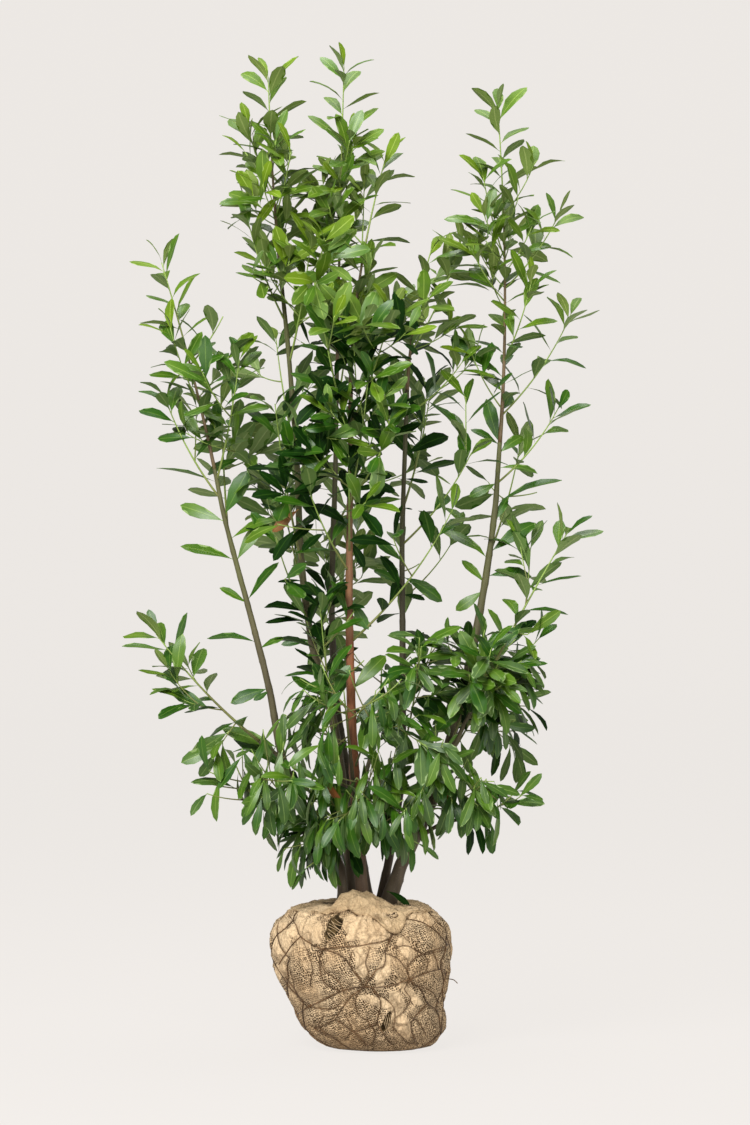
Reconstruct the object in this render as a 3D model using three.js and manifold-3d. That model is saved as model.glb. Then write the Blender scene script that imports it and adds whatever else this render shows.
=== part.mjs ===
// A broadleaf evergreen shrub of six upright stems on a hessian-wrapped root ball, in millimetres.
// +Z is up, +X is to the right and -Y is the front. The origin is the middle of the ball's flat underside.
import * as THREE from "three";
import Module from "manifold-3d";

const wasm = await Module();
wasm.setup();

// Driving sizes
const CLEAR = 0.35; // gap between a piece and the piece that carries it
// The space of the crown: height, and how far it reaches to the left, to the right, to the front and back.
const REACH = [
  [330, -120, 130, 190], [440, -250, 300, 290], [560, -385, 410, 340], [700, -430, 425, 360],
  [800, -490, 420, 370], [930, -540, 430, 370], [1010, -430, 480, 370], [1150, -410, 520, 370],
  [1260, -440, 430, 370], [1400, -505, 500, 350], [1640, -505, 520, 320], [1790, -500, 480, 280],
  [1880, -335, 490, 240], [2000, -330, 410, 200], [2100, -300, 395, 150], [2180, -290, 330, 110],
  [2225, -110, 40, 80],
];
const UP = new THREE.Vector3(0, 0, 1);

// The ball: half of its outline as radius and height, from the edge of the flat underside to the collar.
const BALL_OUTLINE = [
  [82, 0], [118, 8], [150, 36], [161, 62], [168, 95], [182, 140], [192, 175],
  [198, 205], [197, 235], [190, 262], [176, 283], [154, 301], [122, 313], [88, 315],
];
const BALL_ROUND = 24; // facets round the ball, two to a cell of the wire net
const BALL_RINGS = 12;
const NET_CELLS = 12; // cells of the wire net round the ball
const NET_SHARE = 2; // one wire in this many is modelled
const PILLOW = 8; // how far the cloth bulges through a cell
const FOOT_SHIFT = 36; // the foot of the ball is this far to the right of its shoulder
const CLOTH = 5; // thickness of the wrap, folds included
const WIRE = 1.4; // radius of a wire
const SOIL_TOP = 308;
const COLLAR = { radius: 88, height: 313, roll: 11, rise: 24, rise_at: -1.75, facets: 20 };
const CORNERS = [-1.45, -2.35, 0.15, 1.9]; // angles where a corner of the cloth is folded over the shoulder

// Stems: way points from the soil to where the leafy leader begins, radius at the foot and there.
const STEMS = {
  left: { foot: 13.5, end: 4.6, way: [[-42, -4, 0], [-54, -4, 400], [-122, -10, 515], [-172, -22, 620],
    [-206, -34, 790], [-252, -42, 970], [-300, -46, 1150], [-324, -42, 1265]] },
  centre_left: { foot: 12, end: 4.4, way: [[-24, 44, 0], [-38, 52, 480], [-62, 56, 690], [-112, 50, 880],
    [-136, 44, 1060], [-146, 36, 1280], [-164, 26, 1520], [-181, 15, 1690]] },
  centre: { foot: 14, end: 5, way: [[0, -14, 0], [-9, -20, 450], [-22, -30, 660], [-30, -42, 950],
    [-28, -42, 1240], [-27, -34, 1440]] },
  back: { foot: 11, end: 4.4, way: [[14, 50, 0], [-22, 84, 520], [-58, 108, 740], [-70, 118, 950],
    [-62, 118, 1280], [-58, 104, 1500]] },
  centre_right: { foot: 10, end: 4.4, way: [[36, 24, 0], [62, 30, 440], [84, 30, 590], [87, 30, 800],
    [86, 22, 1120], [97, 14, 1440]] },
  right: { foot: 16.5, end: 5, way: [[50, -10, 0], [84, -18, 400], [124, -22, 480], [162, -14, 575],
    [224, 4, 800], [262, 14, 985], [288, 14, 1165], [300, 10, 1325]] },
};

// Boughs: stem, height where it leaves it, way point, end, radius at the stem and at the end.
const BOUGHS = {
  low_left: { on: "left", at: 545, way: [-178, -48, 632], end: [-226, -58, 672], r: [6, 4] },
  under_left: { on: "left", at: 425, way: [-112, -58, 462], end: [-186, -84, 506], r: [5.5, 3.6] },
  low_front: { on: "centre", at: 470, way: [-20, -82, 570], end: [-28, -132, 655], r: [6, 3.8] },
  low_right: { on: "right", at: 545, way: [192, -70, 650], end: [238, -92, 748], r: [6.5, 4.2] },
  tail_right: { on: "right", at: 450, way: [172, -48, 492], end: [238, -62, 506], r: [5, 3.4] },
  low_back: { on: "back", at: 520, way: [14, 140, 620], end: [30, 190, 700], r: [6, 4] },
};

// Leafy shoots. Each mass grows from the height `at` on a stem, or from the end of a stem or bough, to `tip`.
// `side` lists twigs that the outline needs, as share of the way up and tip; `twigs` more follow the rule.
const MASSES = {
  leader_left: { on: "left", tip: [-425, -30, 1700],
    side: [[0.5, -285, -60, 1640], [0.3, -418, -88, 1570]] },
  outer_left: { on: "left", at: 1200, tip: [-412, -70, 1385], twigs: 2 },
  inner_left: { on: "left", at: 1240, tip: [-268, -92, 1500], twigs: 2 },
  rear_left: { on: "left", at: 1130, tip: [-318, 135, 1430], twigs: 2 },
  arm_left: { on: "low_left", tip: [-440, -60, 905], side: [[0.4, -372, -120, 776]] },
  fan_left: { on: "under_left", tip: [-282, -96, 640], twigs: 3, droop: 0.7, big: 0.9 },
  skirt_left: { on: "left", at: 488, tip: [-240, -158, 660], twigs: 3, droop: 0.8, big: 1.1 },

  leader_centre_left: { on: "centre_left", tip: [-208, 0, 2096],
    side: [[0.42, -252, -12, 2012], [0.3, -158, -72, 1950], [0.34, -158, 70, 1975]] },
  high_left: { on: "centre_left", at: 1590, tip: [-248, -34, 1795],
    side: [[0.4, -250, -90, 1690]], twigs: 1 },
  high_inner: { on: "centre_left", at: 1500, tip: [-112, -70, 1770], twigs: 2 },
  spire_left: { on: "centre_left", at: 1060, tip: [-192, -108, 1420], twigs: 3 },
  rear_high_left: { on: "centre_left", at: 1300, tip: [-196, 205, 1560], twigs: 2 },
  rear_low_left: { on: "centre_left", at: 1000, tip: [-185, 215, 1235], twigs: 2 },
  ladder_left: { on: "centre_left", at: 940, tip: [-192, -70, 1125], twigs: 1 },
  spire_low: { on: "centre_left", at: 640, tip: [-94, -104, 980], twigs: 3 },

  leader_centre: { on: "centre", tip: [50, 0, 1950], side: [[0.34, 20, -80, 1720]], twigs: 1 },
  front_high: { on: "centre", at: 1360, tip: [62, -132, 1612], twigs: 1 },
  front_high_left: { on: "centre", at: 1330, tip: [-92, -136, 1615], twigs: 2 },
  front_mid: { on: "centre", at: 1080, tip: [-30, -158, 1290], twigs: 1 },
  front_right: { on: "centre", at: 1190, tip: [70, -118, 1385], twigs: 1 },
  front_left: { on: "centre", at: 1040, tip: [-122, -150, 1235], twigs: 1 },
  cross_right: { on: "centre", at: 885, tip: [192, -92, 1172], side: [[0.55, 60, -140, 1130]] },
  front_low: { on: "centre", at: 610, tip: [30, -178, 800], twigs: 3, droop: 0.4, big: 1.1 },
  skirt_front: { on: "low_front", tip: [-40, -235, 790], twigs: 3, droop: 0.9, big: 1.2 },
  hem_front: { on: "centre", at: 440, tip: [48, -168, 590], twigs: 3, droop: 1, big: 1.15 },

  leader_back: { on: "back", tip: [-42, 0, 2118],
    side: [[0.38, -98, 70, 1880], [0.62, -20, -24, 1975]] },
  rear_high: { on: "back", at: 1400, tip: [-30, 262, 1650], twigs: 3 },
  rear_mid: { on: "back", at: 1130, tip: [30, 290, 1380], twigs: 3 },
  rear_low: { on: "back", at: 850, tip: [-86, 292, 1090], twigs: 3 },
  skirt_back: { on: "low_back", tip: [40, 290, 850], twigs: 3, droop: 0.7 },

  leader_centre_right: { on: "centre_right", tip: [142, 10, 1742],
    side: [[0.25, 212, 24, 1770]], twigs: 1 },
  reach_right: { on: "centre_right", at: 1385, tip: [212, -50, 1492], twigs: 1 },
  mid_right: { on: "centre_right", at: 1100, tip: [214, -50, 1262], twigs: 1 },
  rear_right: { on: "centre_right", at: 1180, tip: [150, 205, 1440], twigs: 2 },
  rear_right_low: { on: "centre_right", at: 850, tip: [84, 235, 1120], twigs: 2 },
  inner_right: { on: "centre_right", at: 640, tip: [126, -110, 880], twigs: 3, droop: 0.4, big: 1.15 },

  leader_right: { on: "right", tip: [295, 0, 2038], side: [
    [0.46, 428, -30, 1838], [0.24, 366, -70, 1672], [0.08, 456, 30, 1604], [0.1, 236, -40, 1520]] },
  low_shoot_right: { on: "right", at: 1235, tip: [408, -26, 1375] },
  rear_far_right: { on: "right", at: 1080, tip: [352, 175, 1330], twigs: 2 },
  arm_right: { on: "low_right", tip: [430, -74, 1105],
    side: [[0.42, 366, -130, 905]], twigs: 1 },
  crown_right: { on: "right", at: 650, tip: [262, -140, 915], twigs: 3, droop: 0.4, big: 1.15 },
  skirt_right: { on: "right", at: 700, tip: [315, -70, 795], twigs: 3, droop: 0.8, big: 1.15 },
  hem_right: { on: "right", at: 540, tip: [225, -168, 640], twigs: 3, droop: 0.8, big: 1.15 },
  tail: { on: "tail_right", tip: [320, -70, 560], twigs: 1, droop: 0.25 },
  rear_skirt_right: { on: "right", at: 620, tip: [292, 165, 830], twigs: 3, droop: 0.6 },
};

// Leaves and twigs
const LEAF = { length: 122, width: 48, fold: 0.09, gap: 57, ranks: 3 };
const TWIG = { base: 2.4, taper: 0.005, tip: 1.9, step: 115, bare: 0.2, root: 9 };
const KEEP_OFF = 2.6; // how near a leaf or a twig may come to a limb or to another mass

// A steady stream of numbers from 0 to 1 for each seed.
function stream(seed) {
  let state = (seed * 7919 + 104729) >>> 0;
  const next = () => (state = (Math.imul(state, 1664525) + 1013904223) >>> 0) / 4294967296;
  for (let i = 0; i < 4; i++) next();
  return next;
}

const vec = (p) => new THREE.Vector3(...p);
const smooth = (t) => THREE.MathUtils.smoothstep(t, 0, 1);

// Closed triangle mesh to solid.
function solid(points, faces) {
  const vertProperties = new Float32Array(points.flatMap((p) => [p.x, p.y, p.z]));
  const triVerts = new Uint32Array(faces.flat());
  return new wasm.Manifold(new wasm.Mesh({ numProp: 3, vertProperties, triVerts }));
}

// Solid to three.js geometry.
function geometryOf(made) {
  const mesh = made.getMesh();
  const positions = new Float32Array(mesh.numVert * 3);
  for (let i = 0; i < mesh.numVert; i++) {
    positions.set(mesh.vertProperties.subarray(i * mesh.numProp, i * mesh.numProp + 3), i * 3);
  }
  const geometry = new THREE.BufferGeometry();
  geometry.setAttribute("position", new THREE.BufferAttribute(positions, 3));
  geometry.setIndex(new THREE.BufferAttribute(new Uint32Array(mesh.triVerts), 1));
  geometry.computeVertexNormals();
  return geometry;
}

// The largest body of a solid that a cut may have left with scraps.
const largest = (made) => made.decompose().sort((a, b) => b.volume() - a.volume())[0];

// Rings of points joined by bands, closed by a fan at each end.
function loft(rings) {
  const count = rings[0].length;
  const points = rings.flat();
  const faces = [];
  for (let j = 0; j + 1 < rings.length; j++) {
    for (let i = 0; i < count; i++) {
      const a = j * count + i;
      const b = j * count + ((i + 1) % count);
      faces.push([a, b, b + count], [a, b + count, a + count]);
    }
  }
  const last = (rings.length - 1) * count;
  for (let i = 1; i + 1 < count; i++) {
    faces.push([0, i + 1, i], [last, last + i, last + i + 1]);
  }
  return solid(points, faces);
}

// At each point of a path: its heading and two directions across, carried along without a twist.
function frames(points, turn = 0) {
  let across = new THREE.Vector3(Math.cos(turn), Math.sin(turn), 0.07).normalize();
  return points.map((p, i) => {
    const before = points[Math.max(0, i - 1)];
    const after = points[Math.min(points.length - 1, i + 1)];
    const heading = after.clone().sub(before).normalize();
    across = across.clone().addScaledVector(heading, -across.dot(heading)).normalize();
    return { heading, across, third: heading.clone().cross(across) };
  });
}

// A tapering tube through points, its first ring level if it stands on the ground.
function limb(points, radii, sides, { level = false, turn = 0 } = {}) {
  return loft(frames(points, turn).map(({ across, third }, i) => {
    return Array.from({ length: sides }, (_, k) => {
      const angle = (2 * Math.PI * k) / sides;
      const at = points[i].clone()
        .addScaledVector(across, Math.cos(angle) * radii[i])
        .addScaledVector(third, Math.sin(angle) * radii[i]);
      if (level && i === 0) at.z = points[0].z;
      return at;
    });
  }));
}

// The ball's outline as a curve by arc length: radius in x, height in y.
const outlinePoints = BALL_OUTLINE.map(([r, z]) => new THREE.Vector3(r, z, 0));
const outline = new THREE.CatmullRomCurve3(outlinePoints, false, "centripetal");
const FOOT_FREE = 0.08; // share of the outline, at each end, over which the relief fades out

const footShift = (z) => FOOT_SHIFT * Math.max(0, 1 - z / 220) ** 2;
const ballFade = (share) => smooth(share / FOOT_FREE) * smooth((1 - share) / FOOT_FREE);
const ballSwell = (angle, share) => {
  return 3 * Math.sin(3 * angle + 3.4 + 2.2 * share) + 3 * Math.sin(5 * angle + 2 - 5 * share);
};

// A point of the wrapped ball at an angle and a share of the way up the outline, `out` beyond its surface.
function ballPoint(angle, share, out = 0) {
  const at = outline.getPointAt(THREE.MathUtils.clamp(share, 0, 1));
  const rows = (share * BALL_RINGS) / 4;
  const p = (NET_CELLS * angle) / (2 * Math.PI);
  const pillow = Math.abs(Math.sin(Math.PI * (p + rows)) * Math.sin(Math.PI * (p - rows)));
  const fold = CORNERS.reduce((sum, c) => {
    const off = Math.abs(Math.atan2(Math.sin(angle - c), Math.cos(angle - c)));
    return sum + smooth((share - 0.58 - off) / 0.16 + 0.5) * smooth((share - 0.58) * 8);
  }, 0);
  const relief = PILLOW * (pillow - 0.35) + ballSwell(angle, share) + 5 * fold;
  const r = at.x + ballFade(share) * relief + out;
  const z = at.y + out * (share > 0.75 ? 0.6 : 0);
  return new THREE.Vector3(footShift(at.y) + r * Math.cos(angle), r * Math.sin(angle), z);
}

// One ring of the ball, turned half a facet on every second ring so that its edges run with the wires.
function ballRing(j) {
  return Array.from({ length: BALL_ROUND }, (_, i) => {
    return ballPoint((2 * Math.PI * (i + (j % 2) / 2)) / BALL_ROUND, j / BALL_RINGS);
  });
}

// The wrapped ball as one closed solid, its quads split along the wires.
function ballSolid() {
  const n = BALL_ROUND;
  const points = [];
  const faces = [];
  for (let j = 0; j <= BALL_RINGS; j++) points.push(...ballRing(j));
  for (let j = 0; j < BALL_RINGS; j++) {
    for (let i = 0; i < n; i++) {
      const [a, b] = [j * n + i, j * n + ((i + 1) % n)];
      const [c, d] = [a + n, b + n];
      if (j % 2) faces.push([a, b, d], [a, d, c]);
      else faces.push([a, b, c], [b, d, c]);
    }
  }
  const foot = points.push(new THREE.Vector3(FOOT_SHIFT, 0, 0)) - 1;
  const top = points.push(new THREE.Vector3(0, 0, points.at(-2).z)) - 1;
  for (let i = 0; i < n; i++) {
    faces.push([foot, (i + 1) % n, i], [top, top - 1 - n + i, top - 1 - n + ((i + 1) % n)]);
  }
  return solid(points, faces);
}

// Shares of the outline at which the room inside the cloth has a ring.
const ROOM = [0.12, 0.35, 0.55, 0.72, 0.86, 0.99];

// The room inside the cloth, `gap` smaller all round: rings over a level floor.
function room(gap) {
  const rings = ROOM.map((share) => Array.from({ length: BALL_ROUND }, (_, i) => {
    const angle = (2 * Math.PI * i) / BALL_ROUND;
    const at = outline.getPointAt(share);
    const shift = footShift(at.y);
    const r = at.x + ballFade(share) * (ballSwell(angle, share) - PILLOW * 0.35) - CLOTH - gap;
    const lower = share > 0.7 ? CLOTH * 0.9 + gap : 0;
    return new THREE.Vector3(shift + r * Math.cos(angle), r * Math.sin(angle), at.y - lower);
  }));
  const floor = rings[0].map((p) => p.clone().sub(new THREE.Vector3(FOOT_SHIFT, 0, 0)).multiplyScalar(0.85));
  floor.forEach((p) => p.set(p.x + FOOT_SHIFT, p.y, CLOTH + gap));
  return [floor, ...rings];
}

// Cloth wrap: a thin bowl round the soil, open at the top, with its gathered collar fused on.
function wrap() {
  const rings = room(0);
  const mouth = rings.at(-1).map((p) => new THREE.Vector3(p.x * 0.97, p.y * 0.97, 400));
  const bowl = ballSolid().subtract(loft([...rings, mouth]));
  return largest(bowl.add(collar().subtract(loft(rings))));
}

// The gathered edge of the cloth: an uneven roll round the stems, highest in front.
function collar() {
  const rings = [];
  const { radius, height, roll, rise, rise_at, facets } = COLLAR;
  for (let i = 0; i <= facets; i++) {
    const angle = (2 * Math.PI * i) / facets;
    const near = Math.max(0, Math.cos(angle - rise_at)) ** 3;
    const r = radius - 14 * near + 4 * Math.sin(5 * angle);
    const thick = roll * (1 + 0.25 * near + 0.14 * Math.sin(7 * angle + 1));
    const z = height + rise * near + 2.5 * Math.sin(4 * angle + 0.8);
    rings.push([0, 1, 2, 3, 4, 5].map((k) => {
      const a = (k * Math.PI) / 3 + 0.3;
      const out = Math.cos(a) * thick;
      return new THREE.Vector3((r + out) * Math.cos(angle), (r + out) * Math.sin(angle),
        z + Math.sin(a) * thick * (1 + 0.5 * near) - (Math.sin(a) < 0 ? rise * near : 0));
    }));
  }
  const n = 6;
  const points = rings.slice(0, facets).flat();
  const faces = [];
  for (let j = 0; j < facets; j++) {
    const next = (j + 1) % facets;
    for (let i = 0; i < n; i++) {
      const [a, b] = [j * n + i, j * n + ((i + 1) % n)];
      const [c, d] = [next * n + i, next * n + ((i + 1) % n)];
      faces.push([a, d, b], [a, c, d]);
    }
  }
  return solid(points, faces);
}

// Soil inside the cloth, level where the stems stand.
function soil() {
  const rings = room(2 * CLEAR);
  const edge = rings.pop();
  const shoulder = edge.map((p) => new THREE.Vector3(p.x * 0.92, p.y * 0.92, SOIL_TOP - 6));
  const top = edge.map((p) => new THREE.Vector3(p.x * 0.84, p.y * 0.84, SOIL_TOP));
  return loft([...rings, shoulder, top]);
}

// Wire net: wires that cross in diamonds, one in NET_SHARE modelled, fused where they cross.
function net() {
  const wires = [];
  for (let k = 0; k < NET_CELLS; k += NET_SHARE) {
    for (const hand of [1, -1]) {
      const points = [];
      for (let j = 2; j <= BALL_RINGS - 2; j++) {
        const angle = (2 * Math.PI * (k - (hand * j) / 4)) / NET_CELLS;
        points.push(ballPoint(angle, j / BALL_RINGS, WIRE + 1.5));
      }
      wires.push(limb(points, points.map(() => WIRE), 3));
    }
  }
  return wasm.Manifold.union(wires);
}

// Every limb: its path, its radius along it, and the solid.
const limbs = {};

function addLimb(name, points, r0, r1, flare, level) {
  const curve = new THREE.CatmullRomCurve3(points, false, "centripetal");
  const length = curve.getLength();
  const steps = Math.max(3, Math.round(length / 120));
  const path = curve.getSpacedPoints(steps);
  const radii = path.map((p, i) => {
    const share = i / steps;
    return THREE.MathUtils.lerp(r0, r1, share ** 0.8) * (1 + flare * Math.exp((-share * length) / 35));
  });
  const sides = level ? 7 : 5;
  const longer = path.map((p) => p.clone());
  const last = path.at(-1).distanceTo(path.at(-2));
  longer.at(-1).lerpVectors(path.at(-2), path.at(-1), 1 + (1.4 * CLEAR) / last);
  const swollen = limb(longer, radii.map((r) => r + 1.4 * CLEAR), sides, { level });
  limbs[name] = { path, radii, length, solid: limb(path, radii, sides, { level }), swollen };
}

// The point of a limb at a height.
function onLimb(name, height) {
  const { path } = limbs[name];
  const i = Math.min(path.length - 2, Math.max(0, path.findIndex((p) => p.z > height) - 1));
  const t = (height - path[i].z) / (path[i + 1].z - path[i].z);
  return path[i].clone().lerp(path[i + 1], t);
}

for (const [name, stem] of Object.entries(STEMS)) {
  const points = stem.way.map(vec);
  points[0].z = SOIL_TOP + CLEAR;
  addLimb(name, points, stem.foot, stem.end, 0.3, true);
}
for (const [name, bough] of Object.entries(BOUGHS)) {
  const from = onLimb(bough.on, bough.at);
  addLimb(name, [from, vec(bough.way), vec(bough.end)], ...bough.r, 0, false);
  limbs[name].solid = largest(limbs[name].solid.subtract(limbs[bough.on].swollen));
}

// Path of a shoot: straight on from the end of its limb, or bowed out and then up from the side of one.
function shootPath(from, tip, lead) {
  const reach = tip.clone().sub(from);
  const length = reach.length();
  const out = new THREE.Vector3(0.14 * reach.x, 0.14 * reach.y, -0.05 * length);
  const straight = from.clone().addScaledVector(lead ?? UP, length * 0.45);
  const bend = lead ? straight : from.clone().lerp(tip, 0.5).add(out);
  const curve = new THREE.QuadraticBezierCurve3(from, bend, tip);
  const points = curve.getSpacedPoints(Math.max(2, Math.round(length / TWIG.step)));
  return { points, length: curve.getLength() };
}

// The point of a shoot at a share of its way.
function along(shoot, share) {
  const steps = shoot.points.length - 1;
  const i = Math.min(steps - 1, Math.floor(share * steps));
  return shoot.points[i].clone().lerp(shoot.points[i + 1], share * steps - i);
}

// A side direction round an axis, leaning `spread` away from it.
function sideways(axis, turn, spread) {
  const level = new THREE.Vector3(axis.y, -axis.x, 0.001).normalize();
  const other = axis.clone().cross(level);
  return axis.clone().multiplyScalar(Math.cos(spread))
    .addScaledVector(level, Math.cos(turn) * Math.sin(spread))
    .addScaledVector(other, Math.sin(turn) * Math.sin(spread));
}

// All shoots of a mass: the main one, those the outline needs, and those of the rule.
function shootsOf(mass, random) {
  const parent = limbs[mass.on];
  const lead = mass.at === undefined;
  const end = parent.path.at(-1);
  const heading = end.clone().sub(parent.path.at(-2)).normalize();
  const from = lead ? end : onLimb(mass.on, mass.at);
  const main = shootPath(from, vec(mass.tip), lead ? heading : null);
  const thick = lead ? parent.radii.at(-1) : TWIG.base + TWIG.taper * main.length;
  const shoots = [{ ...main, r0: thick, r1: TWIG.tip, bare: lead ? 0.08 : TWIG.bare }];
  for (const [share, ...tip] of mass.side ?? []) {
    shoots.push({ ...shootPath(along(main, share), vec(tip), null), bare: 0.12 });
  }
  for (let k = 0; k < (mass.twigs ?? 0); k++) {
    const share = 0.34 + (0.4 * (k + random())) / mass.twigs;
    const start = along(main, share);
    const axis = along(main, share + 0.1).sub(along(main, share - 0.1)).normalize();
    const turn = 2.4 * k + 6.28 * random();
    const length = (1 - share) * main.length * (0.5 + 0.35 * random()) + 55;
    const tip = start.clone().addScaledVector(sideways(axis, turn, 0.85), length);
    shoots.push({ ...shootPath(start, tip, null), bare: 0.15 });
  }
  shoots.slice(1).forEach((s) => Object.assign(s, { r0: TWIG.base + TWIG.taper * s.length, r1: TWIG.tip }));
  shoots.forEach((s) => (s.turn = 6.28 * random()));
  return shoots;
}

// Leaves of a shoot from its tip down, on the flats of its twig: place, direction, upper side and size.
function leavesOf(shoot, { droop = 0, big = 1 }, random) {
  const leaves = [];
  const turns = frames(shoot.points, shoot.turn);
  const first = Math.floor(3 * random());
  let s = shoot.length - 3;
  for (let k = 0; s > shoot.length * shoot.bare + 12; k++) {
    const share = s / shoot.length;
    const from = along(shoot, share);
    const { heading, across, third } = turns[Math.round(share * (shoot.points.length - 1))];
    const [a, b, c, d] = [random(), random(), random(), random()];
    const spread = k === 0 ? 0.3 : 0.72 + 0.35 * smooth(k / 6) + 0.3 * (a - 0.5);
    const turn = (2 * Math.PI * (first + k + 0.5)) / LEAF.ranks + 0.35 * (b - 0.5);
    const aim = heading.clone().multiplyScalar(Math.cos(spread))
      .addScaledVector(across, Math.cos(turn) * Math.sin(spread))
      .addScaledVector(third, Math.sin(turn) * Math.sin(spread));
    aim.z -= droop * (0.5 + 0.7 * c);
    aim.normalize();
    const face = heading.clone().multiplyScalar(0.7).addScaledVector(UP, 0.6);
    face.addScaledVector(aim, -face.dot(aim)).normalize();
    const size = big * (k === 0 ? 0.72 : 0.84 + 0.3 * d);
    leaves.push({ rank: k, from, aim, face, size });
    s -= LEAF.gap * (k < 2 ? 0.4 : 1) * (0.85 + 0.3 * d);
  }
  return leaves;
}

// Corners of a leaf folded along its midrib: foot, tip, and two pairs of side corners.
function leafPoints({ from, aim, face, size }) {
  const long = LEAF.length * size;
  const wide = LEAF.width * size;
  const side = aim.clone().cross(face);
  const at = (u, v, w) => from.clone()
    .addScaledVector(aim, u * long)
    .addScaledVector(side, v * wide)
    .addScaledVector(face, w);
  const fold = LEAF.fold * wide;
  return [at(0, 0, 0), at(1, 0, -0.05 * long), at(0.42, -0.48, fold), at(0.42, 0.48, fold),
    at(0.74, -0.4, fold - 0.03 * long), at(0.74, 0.4, fold - 0.03 * long)];
}
const LEAF_FACES = [[0, 3, 2], [2, 3, 5], [2, 5, 4], [4, 5, 1], [0, 2, 1], [2, 4, 1], [0, 1, 3], [3, 1, 5]];

// Every solid that stands already, with the mass that it belongs to and its box.
const standing = [];
function stand(made, owner) {
  standing.push({ made, owner, box: made.boundingBox() });
}
for (const name of Object.keys(limbs)) stand(limbs[name].solid, name);

// Whether points lie within the space of the crown.
function within(points) {
  return points.every(({ x, y, z }) => {
    const i = REACH.findIndex((row) => row[0] > z);
    if (i < 1) return false;
    const t = (z - REACH[i - 1][0]) / (REACH[i][0] - REACH[i - 1][0]);
    const [, left, right, deep] = REACH[i].map((v, k) => THREE.MathUtils.lerp(REACH[i - 1][k], v, t));
    return x > left && x < right && Math.abs(y) < deep;
  });
}

// Whether a solid keeps off all that stands, leaving out what belongs to one owner.
function keepsOff(made, owner) {
  const box = made.boundingBox();
  return standing.every((other) => {
    if (other.owner === owner) return true;
    const apart = [0, 1, 2].some((i) => {
      return other.box.min[i] > box.max[i] + KEEP_OFF || box.min[i] > other.box.max[i] + KEEP_OFF;
    });
    return apart || made.minGap(other.made, KEEP_OFF + 1) >= KEEP_OFF;
  });
}

// The solid of a shoot. A side shoot starts from a fine point at the middle of the shoot that carries it.
function twigSolid(shoot, k) {
  const count = shoot.points.length - 1;
  const points = [...shoot.points];
  const radii = points.map((p, i) => THREE.MathUtils.lerp(shoot.r0, shoot.r1, i / count));
  if (k > 0) {
    points.splice(1, 0, points[0].clone().lerp(points[1], TWIG.root / points[0].distanceTo(points[1])));
    radii.splice(0, 1, 0.3, shoot.r0);
  }
  return limb(points, radii, 3, { turn: shoot.turn });
}

// Shoots first, so that no leaf of one mass meets a twig of another. The part of a main shoot that comes
// out of its own limb is left out of the test.
const grown = [];
Object.entries(MASSES).forEach(([name, mass], index) => {
  const random = stream(index + 1);
  const keep = [];
  const twigs = [];
  shootsOf(mass, random).forEach((shoot, k) => {
    const made = twigSolid(shoot, k);
    const clear = keepsOff(made, k === 0 ? mass.on : name);
    if (k > 0 && !(clear && within(shoot.points))) return;
    keep.push(shoot);
    twigs.push(made);
  });
  twigs.forEach((made) => stand(made, name));
  const leaves = keep.flatMap((shoot) => leavesOf(shoot, mass, random));
  grown.push({ name, mass, twigs, leaves, solids: [] });
});

// Leaves go on from the tips down, in turn, so that every mass keeps its outline.
const deepest = Math.max(...grown.flatMap((g) => g.leaves.map((l) => l.rank)));
for (let rank = 0; rank <= deepest; rank++) {
  for (const { name, leaves, solids } of grown) {
    for (const leaf of leaves.filter((l) => l.rank === rank)) {
      const corners = leafPoints(leaf);
      const made = solid(corners, LEAF_FACES);
      if (!within(corners) || !keepsOff(made, name)) continue;
      if (solids.some((other) => made.minGap(other, 1) < CLEAR)) continue;
      stand(made, name);
      solids.push(made);
    }
  }
}

const colours = {
  hessian: { color: 0xc2a679, roughness: 0.95 },
  soil: { color: 0x3b2b1f, roughness: 1 },
  wire: { color: 0x4b4238, roughness: 0.55, metalness: 0.6 },
  bark: { color: 0x5b4a3a, roughness: 0.85 },
  twig: { color: 0x6a7a3c, roughness: 0.7 },
  leaf: { color: 0x3f7a2c, roughness: 0.4 },
};

const plant = new THREE.Group();
function add(name, made, look) {
  const mesh = new THREE.Mesh(geometryOf(made), new THREE.MeshStandardMaterial(colours[look]));
  mesh.name = name;
  plant.add(mesh);
}

add("hessian_wrap", wrap(), "hessian");
add("soil", soil(), "soil");
add("wire_net", net(), "wire");
for (const name of Object.keys(STEMS)) add("stem_" + name, limbs[name].solid, "bark");
for (const name of Object.keys(BOUGHS)) add("bough_" + name, limbs[name].solid, "bark");
for (const { name, mass, twigs, solids } of grown) {
  const joined = wasm.Manifold.union([...twigs, ...solids]);
  add("foliage_" + name, largest(joined.subtract(limbs[mass.on].swollen)), "leaf");
}
console.log(grown.reduce((sum, g) => sum + g.solids.length, 0), "leaves");

export default plant;
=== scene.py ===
"""A broadleaf evergreen shrub of six stems on a root ball in hessian and wire, dressed for its portrait.

Lengths in the tables are millimetres, as on the nursery bench; every mesh is made in metres.
"""
import math

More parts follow.
